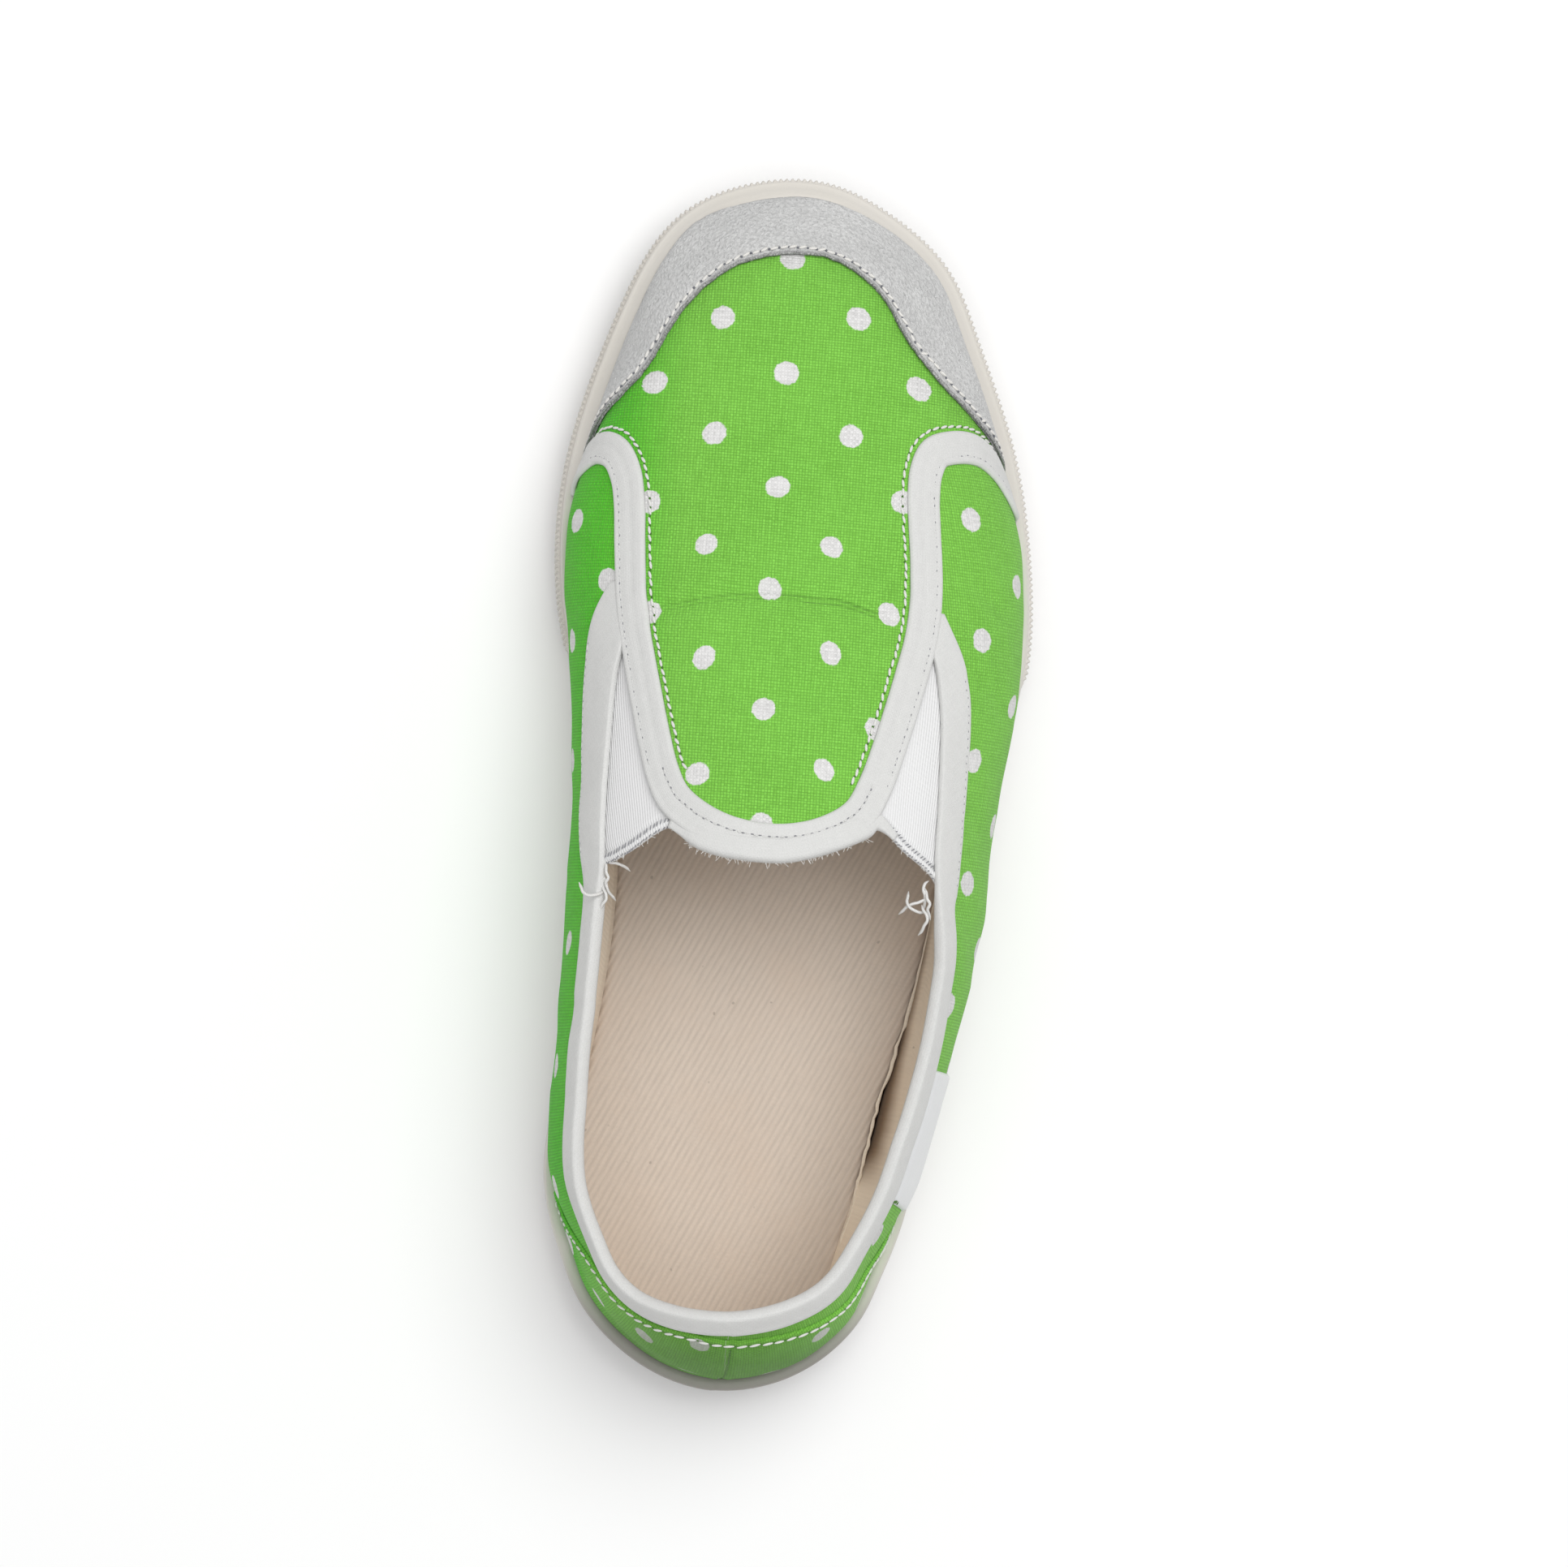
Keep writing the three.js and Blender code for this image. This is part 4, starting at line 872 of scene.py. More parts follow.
def net(points, maps, normals=None, keep=None, closed=False, ends=False):
    """A smooth skin over a net of points (along, across), in millimetres, with its own cloth maps."""
    rows, columns = points.shape[:2]
    bm = bmesh.new()
    bmesh.ops.create_grid(bm, x_segments=rows - 1, y_segments=columns - 1, size=1.0)
    bm.verts.index_update()
    co = np.array([v.co[:2] for v in bm.verts])
    i = np.rint((co[:, 0] + 1) / 2 * (rows - 1)).astype(int)
    j = np.rint((co[:, 1] + 1) / 2 * (columns - 1)).astype(int)
    placed = in_frame(points[i, j])
    for v, at in zip(bm.verts, placed):
        v.co = at
    for name, uv in maps.items():
        layer, spots = bm.loops.layers.uv.new(name), uv[i, j]
        for face in bm.faces:
            for loop in face.loops:
                loop[layer].uv = spots[loop.vert.index]
    if keep is not None:
        spots = keep[i, j]
        gone = [f for f in bm.faces if not all(spots[v.index] for v in f.verts)]
        bmesh.ops.delete(bm, geom=gone, context="FACES")
    facing = 0.0
    if normals is not None:
        bm.normal_update()
        turned = normals[i, j]
        facing = sum(f.normal.dot(turned[f.verts[0].index]) for f in bm.faces)
    bmesh.ops.remove_doubles(bm, verts=bm.verts[:], dist=4e-6)
    bmesh.ops.dissolve_degenerate(bm, edges=bm.edges[:], dist=1e-7)
    if ends:
        bmesh.ops.holes_fill(bm, edges=[e for e in bm.edges if e.is_boundary], sides=0)
    if closed:
        bmesh.ops.recalc_face_normals(bm, faces=bm.faces[:])
        if bm.calc_volume(signed=True) < 0:
            bmesh.ops.reverse_faces(bm, faces=bm.faces[:])
    elif facing < 0:
        bmesh.ops.reverse_faces(bm, faces=bm.faces[:])
    return bm


def thicken(piece, millimetres):
    cloth = piece.modifiers.new("Thickness", "SOLIDIFY")
    cloth.thickness, cloth.offset, cloth.use_rim = millimetres / 1000, -1.0, True
    return piece


def map_of(points):
    """Distances along and across a net, as its cloth map."""
    u, v = lengths(points[:, points.shape[1] // 2]), run_across(points)
    return np.stack([np.broadcast_to(u[:, None], v.shape), v - v[:, -1:] / 2], -1)


def rounded_edge(distance, radius):
    t = np.clip(distance / radius, 0, 1)
    return np.sqrt(np.maximum(0, 1 - (1 - t) ** 2))


def tape_net(left, right, thickness, furrows=(), pitch=2.6, base=0.05, columns=18, radius=0.8, ridge=None):
    """Closed section of a tape between two lines on the last. Furrows are (distance from the left, depth)."""
    share = 0.5 - 0.5 * np.cos(np.pi * np.linspace(0, 1, columns + 1))
    chord = lerp(left[:, None], right[:, None], share[None, :, None])
    points, normals = seated(chord)
    width = np.linalg.norm(right - left, axis=-1)[:, None]
    distance = share[None] * width
    run = lengths(left)[:, None] * 0.5 + lengths(right)[:, None] * 0.5
    height = thickness * rounded_edge(np.minimum(distance, width - distance), radius)
    for at, depth in furrows:
        at = at if at >= 0 else width + at
        pucker = 0.75 + 0.25 * np.cos(2 * np.pi * run / pitch)
        height = height - depth * pucker * np.exp(-(((distance - at) / 0.55) ** 2))
        height = height + 0.25 * depth * np.exp(-(((distance - at) / 1.5) ** 2)) * (1 - pucker)
    if ridge:
        at, rise = ridge
        at = at if at >= 0 else width + at
        height = height + rise * np.exp(-(((distance - at) / 0.9) ** 2))
    top = lifted(points, normals, base + height + 0.05 * wander(points, 5.0, 4))
    under = [int(columns * t) for t in (0.92, 0.5, 0.08)]
    bottom = lifted(points[:, under], normals[:, under], base * np.ones((len(points), 3)))
    ring = np.concatenate([top, bottom, top[:, :1]], 1)
    cloth = map_of(points)
    cloth = np.concatenate([cloth, cloth[:, under], cloth[:, :1]], 1)
    return ring, cloth


def add_stitches(
    bm, points, normals, pitch, long, wide, high=None, height=0.0, slant=0.0, wobble=0.06, seed=3, shift=0.0):
    """Short stitches along a line, each a flat bead with its ends sunk in the cloth."""
    fine = evenly(points, 0.25)
    near = np.clip(np.searchsorted(lengths(points), lengths(fine)), 0, len(points) - 1)
    up, run = normals[near], tangents(fine)
    reach = lengths(fine)
    high = high or wide * 0.8
    rng = np.random.default_rng(seed)
    count = int(reach[-1] / pitch)
    for k in range(count):
        at = (k + 0.5 + shift) * reach[-1] / count
        i = min(len(fine) - 1, int(np.searchsorted(reach, at)))
        n, t = up[i], run[i]
        side = unit(np.cross(n, t))
        turn = slant + rng.normal(0, 0.05)
        t, side = t * math.cos(turn) + side * math.sin(turn), side * math.cos(turn) - t * math.sin(turn)
        raise_by = relief(fine[i][None])[0] + height
        at = fine[i] + n * raise_by + side * rng.normal(0, wobble)
        here = in_frame(at)
        axes = Matrix(
            ((side[0], n[0], t[0], here[0]), (side[1], n[1], t[1], here[1]), (side[2], n[2], t[2], here[2]), (0, 0, 0, 1)))
        size = Matrix.Diagonal((wide / 2000, high / 2000, long * rng.uniform(0.92, 1.06) / 2000, 1))
        bmesh.ops.create_uvsphere(bm, u_segments=8, v_segments=5, radius=1.0, matrix=axes @ size)


def add_thread(bm, points, thick):
    """A loose thread along a line of points in millimetres."""
    fine = through(points, np.linspace(0, len(points) - 1, 6 * len(points)))
    run = tangents(fine)
    side = unit(np.cross(run, [0.13, 0.2, 1.0]))
    turn = np.linspace(0, 2 * np.pi, 7)
    thin = thick / 2 * np.minimum(1, 0.25 + 6 * np.minimum(np.linspace(0, 1, len(fine)), np.linspace(1, 0, len(fine))))
    ring = fine[:, None] + (
        side[:, None] * np.cos(turn)[:, None] + np.cross(run, side)[:, None] * np.sin(turn)[:, None]) * thin[:, None, None]
    tube = net(ring, {}, closed=True, ends=True)
    mesh = bpy.data.meshes.new("thread")
    tube.to_mesh(mesh)
    tube.free()
    bm.from_mesh(mesh)
    bpy.data.meshes.remove(mesh)


def across_grid(count_along, count_across, offset_m, offset_l):
    """Stations along the sole with points across it, from the inner edge to the outer edge."""
    t = np.linspace(0, 1, count_along)
    along = 0.5 - 0.5 * np.cos(np.pi * (0.06 + 0.88 * t))
    along = (along - along[0]) / (along[-1] - along[0])
    inner_s = station_at(along, -1)
    inner, outer = feather(inner_s, offset_m), feather(LOOP - inner_s, offset_l)
    share = np.linspace(0, 1, count_across)
    return lerp(inner[:, None], outer[:, None], share[None, :, None]), inner_s


class ShoeSizes(bpy.types.PropertyGroup):
    """Sizes of cloth, tapes and stitches."""

    thread_pitch: FloatProperty(
        name="Thread pitch", description="Distance between the canvas's threads", default=0.00060, min=0.0002,
        max=0.002, unit="LENGTH")
    dot: FloatProperty(
        name="Dot", description="Across a printed dot", default=0.0050, min=0.001, max=0.02, unit="LENGTH")
    canvas_thickness: FloatProperty(
        name="Canvas thickness", description="Outer cloth of the upper", default=0.0007, min=0.0003, max=0.0015,
        unit="LENGTH")
    tape_width: FloatProperty(
        name="Band width", description="Width of the band round the vamp", default=0.007, min=0.004, max=0.012,
        unit="LENGTH")
    tape_thickness: FloatProperty(
        name="Tape thickness", description="Height of folded tape above the cloth", default=0.00095, min=0.0003,
        max=0.002, unit="LENGTH")
    suede_thickness: FloatProperty(
        name="Suede thickness", description="Height of the toe cap above the cloth", default=0.00125, min=0.0005,
        max=0.002, unit="LENGTH")
    stitch_pitch: FloatProperty(
        name="Stitch pitch", description="Distance between stitches", default=0.0024, min=0.001, max=0.005,
        unit="LENGTH")
    thread_width: FloatProperty(
        name="Thread width", description="Across the sewing thread", default=0.00045, min=0.0002, max=0.001,
        unit="LENGTH")
    rib_pitch: FloatProperty(
        name="Toe rib pitch", description="Distance between the ribs of the toe strip", default=0.0012, min=0.0008,
        max=0.004, unit="LENGTH")
    rib_depth: FloatProperty(
        name="Toe rib depth", description="Depth between the ribs of the toe strip", default=0.0005, min=0.0,
        max=0.001, unit="LENGTH")


class ShoeColours(bpy.types.PropertyGroup):
    """Colours of the shoe's materials."""

    canvas: FloatVectorProperty(
        name="Canvas", description="Ground colour of the printed cloth", subtype="COLOR", size=3,
        default=linear(128, 201, 75)[:3], min=0, max=1)
    dots: FloatVectorProperty(
        name="Dots", description="Colour of the printed dots", subtype="COLOR", size=3,
        default=linear(228, 227, 226)[:3], min=0, max=1)
    suede: FloatVectorProperty(
        name="Suede", description="Toe cap", subtype="COLOR", size=3, default=linear(211, 211, 210)[:3], min=0, max=1)
    tape: FloatVectorProperty(
        name="Tape", description="Band, collar and front tapes", subtype="COLOR", size=3,
        default=linear(217, 217, 215)[:3], min=0, max=1)
    elastic: FloatVectorProperty(
        name="Elastic", description="Side elastics", subtype="COLOR", size=3, default=linear(232, 232, 232)[:3],
        min=0, max=1)
    rubber: FloatVectorProperty(
        name="Rubber", description="Sole and foxing", subtype="COLOR", size=3, default=linear(214, 210, 203)[:3],
        min=0, max=1)
    insole: FloatVectorProperty(
        name="Insole", description="Twill of the insole", subtype="COLOR", size=3, default=linear(208, 196, 184)[:3],
        min=0, max=1)
    lining: FloatVectorProperty(
        name="Lining", description="Cloth inside the upper", subtype="COLOR", size=3,
        default=linear(240, 228, 210)[:3], min=0, max=1)
    board: FloatVectorProperty(
        name="Board", description="Glued board beside the insole", subtype="COLOR", size=3,
        default=linear(128, 98, 68)[:3], min=0, max=1)
    thread: FloatVectorProperty(
        name="Thread", description="Sewing thread", subtype="COLOR", size=3, default=linear(228, 227, 224)[:3], min=0,
        max=1)


def sizes():
    return bpy.context.scene.shoe_sizes


def colours():
    return bpy.context.scene.shoe_colours


class SHOE_OT_outsole(bpy.types.Operator):
    """Make the outsole with its tread and lip, and the glued board on top of it"""

    bl_idname = "shoe.outsole"
    bl_label = "Outsole"

    def execute(self, context):
        plan_points, inner_s = across_grid(330, 44, LIP, LIP)
        x, y = plan_points[..., 0], plan_points[..., 1]
        half = np.abs(np.linspace(-1, 1, 44))[None]
        zigzag = np.abs(np.mod(x / 9.0, 2.0) - 1.0) * 3.2 - 1.6
        phase = np.mod((y - 0.06 * LENGTH + zigzag) / 8.0 + 0.5, 1.0) - 0.5
        groove = 1 - eased(np.abs(phase) * 8.0, 0.40, 1.35)
        along = y / LENGTH
        worn = eased(along, 0.045, 0.06) * (1 - eased(along, 0.95, 0.965))
        arch = 1 - eased(along, 0.32, 0.34) * (1 - eased(along, 0.51, 0.53))
        groove = groove * worn * arch * (1 - eased(half, 0.70, 0.76))
        rim = eased(half, 0.80, 0.83) * (1 - eased(half, 0.86, 0.89)) * eased(along, 0.02, 0.04) * (
            1 - eased(along, 0.96, 0.98))
        low = underside(y)
        bottom = np.concatenate([plan_points, (low + 1.2 * groove + 0.6 * rim)[..., None]], -1)[:, ::-1]
        edge_y = feather(inner_s)[:, 1]

        def side(offset, height):
            inner = np.concatenate([feather(inner_s, offset), (height(edge_y))[:, None]], -1)
            outer = np.concatenate([feather(LOOP - inner_s, offset), (height(edge_y))[:, None]], -1)
            return inner, outer

        steps = [(LIP, lambda y: underside(y) + 0.35), (2.6, lambda y: underside(y) + 1.05),
                 (2.4, lambda y: underside(y) + 1.2), (0.0, lambda y: underside(y) + 1.2),
                 (0.0, lambda y: platform(y) - 0.4)]
        sides = [side(*step) for step in steps]
        top = lerp(sides[-1][0][:, None], sides[-1][1][:, None], np.linspace(0, 1, 8)[None, 1:-1, None])
        ring = np.concatenate(
            [bottom] + [s[0][:, None] for s in sides] + [top] + [s[1][:, None] for s in sides[::-1]] + [bottom[:, :1]], 1)
        bm = net(ring, {}, closed=True, ends=True)
        new_object("outsole_rubber", bm, finish_named("sole_rubber", rubber_finish, 0.93, 3.0), ["outsole"])
        board, _ = across_grid(120, 24, -0.05, -0.05)
        z = platform(board[..., 1])
        face = np.concatenate([board, z[..., None]], -1)
        under = np.concatenate([board, (z - 0.38)[..., None]], -1)[:, ::-1]
        bm = net(np.concatenate([face, under, face[:, :1]], 1), {}, closed=True, ends=True)
        new_object("glued_board", bm, finish_named("glued_board", board_finish), ["outsole"])
        return {"FINISHED"}


def carried_ring(section, start=0.0, end=LOOP, count=384):
    """A section carried round the sole. The section gives outward distances and heights at stations."""
    s = np.linspace(start, end, count + 1)
    out, height = section(s)
    base = plan(s)[:, None] + outward(s)[:, None] * out[..., None]
    return np.concatenate([base, height[..., None]], -1), s


class SHOE_OT_sidewall(bpy.types.Operator):
    """Make the rubber foxing round the shoe and the ribbed strip round the toe"""

    bl_idname = "shoe.sidewall"
    bl_label = "Foxing and toe strip"

    def execute(self, context):
        def foxing(s):
            along = along_at(s)
            out = lerp(3.0, 2.2, eased(along, 0.55, 0.59))
            out = out + 0.12 * eased(np.mod(s, LOOP), 0.0, 0.06) * (1 - eased(np.mod(s, LOOP), 15.7, 16.05))
            ripple = 0.05 * np.sin(s * 5.1) + 0.04 * np.sin(s * 11.7 + 1.0)
            top, low = foxing_top(s) + ripple, underside(plan(s)[:, 1]) + 1.5
            tall = top - low
            arc = np.linspace(0, np.pi / 2, 6)
            climb = eased(along, 0.70, 0.80)
            inner_top = top - 0.5 + 3.1 * climb
            outs = [
                0.32 - 3.5 * climb, 0.75 - 1.15 * climb,
                out - 1.35 - 0.4 * climb] + [out - 0.8 + 0.8 * np.sin(a) for a in arc]
            heights = [
                inner_top, top - 0.08 + 2.35 * climb,
                top + 0.02 + 0.95 * climb] + [top - 0.8 + 0.8 * np.cos(a) for a in arc]
            for share in (0.2, 0.35, 0.5, 0.65, 0.8, 0.9, 0.97):
                outs.append(out - 0.16 * np.sin(np.pi * share))
                heights.append(top - 0.8 - (tall - 0.8) * share)
            outs += [out - 0.15, np.full_like(s, 0.32), outs[0]]
            heights += [low, low, inner_top]
            return np.stack(outs, -1), np.stack(heights, -1)

        ring, _ = carried_ring(foxing, count=512)
        bm = net(ring, {}, closed=True)
        new_object("foxing_rubber", bm, finish_named("rubber", rubber_finish), ["foxing"])

        pitch, depth = sizes().rib_pitch * 1000, sizes().rib_depth * 1000
        first = float(station_at(0.6, -1))
        fine = np.linspace(first, LOOP - first, 4000)
        reach = lengths(np.concatenate([feather(fine, 3.0), np.zeros((4000, 1))], -1))
        ribs = int(reach[-1] / pitch)
        marks = np.interp(np.linspace(0, reach[-1], ribs * 4 + 1), reach, fine)

        k = np.arange(len(marks))
        tooth = np.array([0.0, 0.85, 1.0, 0.15])[k % 4]
        ends = eased(k, 0, 10) * (1 - eased(k, len(k) - 11, len(k) - 1))
        face = 2.62 + 0.8 * ends - depth * (1 - tooth) * ends
        top, low = foxing_top(marks) - 4.0, underside(plan(marks)[:, 1]) + 2.0
        inner = np.full_like(marks, 2.24)
        out = np.stack([inner, face - 0.35, face, face, face - 0.35, inner, inner], -1)
        height = np.stack([top, top - 0.05, top - 0.6, low + 0.6, low + 0.05, low, top], -1)
        base = plan(marks)[:, None] + outward(marks)[:, None] * out[..., None]
        bm = net(np.concatenate([base, height[..., None]], -1), {}, closed=True, ends=True)
        new_object(
            "toe_strip", bm, finish_named("strip_rubber", rubber_finish, 0.97), ["toe_bumper"],
            smooth=False)
        return {"FINISHED"}


class SHOE_OT_insole(bpy.types.Operator):
    """Make the twill insole, cut short on the outer side of the heel, with its pale selvedge"""

    bl_idname = "shoe.insole"
    bl_label = "Insole"

    def execute(self, context):
        count, wide = 200, 46
        _, inner_s = across_grid(count, wide, 0.0, 0.0)
        y = feather(inner_s)[:, 1]
        cut = INSOLE_SHORT * np.maximum(0, insole_cut(y / LENGTH))
        probe = np.stack([np.zeros(count), y, np.zeros(count)], -1)
        ragged = (0.35 * wander(probe, 3.1, 8) + 0.22 * wander(probe, 1.1, 9)) * eased(cut, 0.2, 1.5)
        inner, outer = feather(inner_s, -INSOLE_GAP), feather(LOOP - inner_s, -INSOLE_GAP - cut + ragged)
        share = np.linspace(0, 1, wide)
        top_plan = lerp(inner[:, None], outer[:, None], share[None, :, None])
        base = platform(y)[:, None] + 0.3
        side_run = np.minimum(share, 1 - share)[None] * np.linalg.norm(outer - inner, axis=-1)[:, None]
        edge = rounded_edge(side_run, 1.1)
        cup = 1.1 * np.exp(-side_run / 7.0) * (
            1 - eased(y / LENGTH, 0.30, 0.50))[:, None] * (1 - 0.75 * share[None] ** 3)
        flat = np.concatenate([top_plan, np.zeros((count, wide, 1))], -1)
        dip = 0.5 * np.exp(-(((top_plan[..., 0]) / 17) ** 2 + ((top_plan[..., 1] - 34) / 24) ** 2))
        dip = dip + 0.35 * np.exp(-(((top_plan[..., 0] - 5) / 24) ** 2 + ((top_plan[..., 1] - 165) / 24) ** 2))
        height = base + 3.1 + 0.85 * edge + cup - dip + 0.12 * wander(flat, 18.0, 5)
        top = np.concatenate([top_plan, height[..., None]], -1)
        low = np.concatenate([lerp(inner[:, None], outer[:, None], np.array([1.0, 0.66, 0.33, 0.0])[None, :, None]),
                              np.broadcast_to(base[..., None], (count, 4, 1))], -1)
        ring = np.concatenate([top, low, top[:, :1]], 1)
        cloth = np.concatenate([top_plan, low[..., :2], top_plan[:, :1]], 1)
        bm = net(ring, {"Cloth": cloth}, closed=True, ends=True)
        piece = new_object(
            "insole_pad", bm, finish_named("insole_twill", twill_finish, colours().insole),
            ["insole"])
        rows = (y > 0.075 * LENGTH) & (y < 0.42 * LENGTH)
        line = np.concatenate([outer[rows], (height[:, -2][rows] + 0.10)[:, None]], -1)
        away = np.concatenate([unit(outer[rows] - inner[rows]), np.zeros((rows.sum(), 1))], -1)
        turn = np.linspace(0, 2 * np.pi, 9)
        thin = 0.32 + 0.14 * wander(line, 2.3, 12)
        tube = line[:, None] + away[:, None] * (np.cos(turn)[None, :] * thin[:, None])[..., None]
        tube = tube + np.array([0, 0, 1]) * (np.sin(turn)[None, :] * 0.32)[..., None]
        bm = net(tube, {"Cloth": map_of(tube)}, closed=True, ends=True)
        new_object(
            "insole_selvedge", bm, finish_named("selvedge", tape_finish, colours().lining),
            ["insole"])
        return {"FINISHED"}


def print_of_vamp(xy):
    """Column and row of the print at points of the vamp, bent so that each dot falls in its place."""
    at, goal = VAMP_DOTS[:, :2], VAMP_DOTS[:, 2:]

    def kernel(a, b):
        r = np.linalg.norm(a[:, None] - b[None], axis=-1)
        return r**2 * np.log(r + 1e-9)

    count = len(at)
    ones = np.concatenate([np.ones((count, 1)), at], 1)
    system = np.block([[kernel(at, at) + 0.4 * np.eye(count), ones], [ones.T, np.zeros((3, 3))]])
    weights = np.linalg.solve(system, np.concatenate([goal, np.zeros((3, 2))]))
    flat = xy.reshape(-1, 2)
    out = np.empty_like(flat)
    for k in range(0, len(flat), 4000):
        some = flat[k:k + 4000]
        out[k:k + 4000] = kernel(some, at) @ weights[:count] + np.concatenate(
            [np.ones((len(some), 1)), some], 1) @ weights[count:]
    return out.reshape(xy.shape)


RIB_GIRTHS = np.linspace(0, 1.5, 76)


def cloth_maps(s, g):
    """Cloth map in millimetres and print map in columns and rows, for the quarters and the heel."""
    stations = np.linspace(0, LOOP, 257)
    ribs = last_point(stations[:, None], RIB_GIRTHS[None])
    down = run_across(ribs)
    wide = last_point(stations, np.ones(257))
    heel_round = lengths(wide)
    around = np.minimum(heel_round, heel_round[-1] - heel_round)
    sm = np.mod(s, LOOP)
    level = np.interp(sm.ravel(), stations, around).reshape(s.shape)
    column = np.clip(g / 1.5 * 75, 0, 74.999)
    row = sm / LOOP * 256
    i, j = np.clip(row.astype(int), 0, 255), column.astype(int)
    fi, fj = row - i, column - j
    reach = (down[i, j] * (1 - fi) * (1 - fj) + down[i + 1, j] * fi * (1 - fj)
             + down[i, j + 1] * (1 - fi) * fj + down[i + 1, j + 1] * fi * fj)
    # measured from the widest line, so that the print runs level round the heel
    wide_reach = np.interp(sm.ravel(), stations, down[:, 50]).reshape(s.shape)
    rise = wide_reach - reach
    side = np.where(sm <= TOE, -1.0, 1.0)
    cloth = np.stack([level * side, rise], -1)
    wider = COLUMN * (1 + 0.22 * eased(150.0 - level, 0.0, 45.0))
    lateral = np.stack([(rise - 21.8 + 0.027 * np.clip(146.2 - level, 0, 50)) / wider, (level - 146.2) / 12.35], -1)
    sunk = 4.0 * np.exp(-(((level - 92.0) / 18.0) ** 2))
    medial = np.stack([(rise - 8.5 + 0.11 * (189.5 - level) + sunk) / COLUMN, (level - 189.5) / ROW], -1)
    return cloth, np.where((side > 0)[..., None], lateral, medial)


def opening_outline():
    edge = through(COLLAR_KNOTS, np.linspace(0, len(COLLAR_KNOTS), 281)[:-1], closed=True)
    return edge[:, :2]


def band_line():
    knots = dropped(BAND_PATH)
    first = last_point(station_at(np.array([0.750, 0.745]), 1), np.array([1.25, 1.55]))
    last = last_point(station_at(np.array([0.744, 0.733]), -1), np.array([1.25, 1.55]))
    return np.concatenate([first[::-1], knots, last])


def upper_net(ribs, girths):
    s = np.linspace(0, LOOP, ribs + 1)[:, None] + np.zeros((1, len(girths)))
    g = np.broadcast_to(girths[None], s.shape)
    points, normals = last_point(s, g), last_normal(s, g)
    keep = ~(inside(opening_outline(), points[..., :2]) & (g < 0.85))
    for window in (INNER_WINDOW, OUTER_WINDOW):
        keep &= ~(inside(np.array(window) * [WIDTH, LENGTH], points[..., :2]) & (g < 0.85))
    return s, g, points, normals, keep


class SHOE_OT_upper(bpy.types.Operator):
    """Make the dotted canvas of the vamp and quarters, and the lining inside it"""

    bl_idname = "shoe.upper"
    bl_label = "Canvas and lining"

    def execute(self, context):
        girths = np.concatenate([np.linspace(0, 1, 64), np.linspace(1.06, 1.5, 9), [1.56, 1.7]])
        s, g, points, normals, keep = upper_net(384, girths)
        cloth, dots = cloth_maps(s, g)
        band = band_line()[:, :2]
        front = inside(np.concatenate([band, [[-60, 183], [-60, 260], [60, 260], [60, 183]]]), points[..., :2])
        front &= g < 1.05
        plane = points[..., :2] * [1.0, 1.06]
        vamp = print_of_vamp(points[..., :2])
        cloth, dots = np.where(front[..., None], plane, cloth), np.where(front[..., None], vamp, dots)
        far, share = away_from(CREASES[0][0], points[..., :2])
        crease = np.where(front[..., None], np.stack([far, share], -1), [50.0, 0.0])
        under_cap = -0.9 * eased(points[..., 1] / LENGTH, 0.955, 0.975)
        bm = net(lifted(points, normals, under_cap), {"Cloth": cloth, "Print": dots, "Crease": crease}, normals, keep)
        piece = new_object("canvas_upper", bm, dotted_canvas(), ["upper"])
        thicken(piece, sizes().canvas_thickness * 1000)
        girths = np.concatenate([np.linspace(0, 1, 40), np.linspace(1.1, 1.5, 5), np.linspace(1.55, 2.0, 10)])
        s, g, points, normals, keep = upper_net(224, girths)
        cloth, _ = cloth_maps(s, g)
        tuck = np.clip((g - 1.5) * 2, 0, 1)
        cut = np.where(s > TOE, np.maximum(0, insole_cut(points[..., 1] / LENGTH)), 0.0)
        ahead = eased(points[..., 1] / LENGTH, 0.155, 0.215)
        inward = tuck * lerp(1.8 + 4.5 * cut, 1.2 + 3.4 * cut, ahead)
        foot = feather(s, -inward)
        low, board = foxing_top(s), platform(plan(s)[..., 1]) + lerp(3.0, 0.75, ahead)
        turned = np.concatenate([foot, lerp(low, board, tuck**1.12)[..., None]], -1)
        points = np.where((g > 1.5)[..., None], turned, points)
        skin = points - normals * (1.0 - relief(points))[..., None]
        # map for the glue stain and painted shade low in the lining on the outer side
        stain = np.stack([np.where(s > TOE, tuck, 0.0), points[..., 1] / LENGTH], -1)
        bm = net(skin, {"Cloth": cloth, "StainAndShade": stain}, normals, keep)
        finish = finish_named(
            "lining_twill", twill_finish, colours().lining, pitch=0.8, angle=0.9, depth=0.3, stained=True)
        lining = new_object("lining", bm, finish, ["upper"])
        thicken(lining, 0.36)
        return {"FINISHED"}


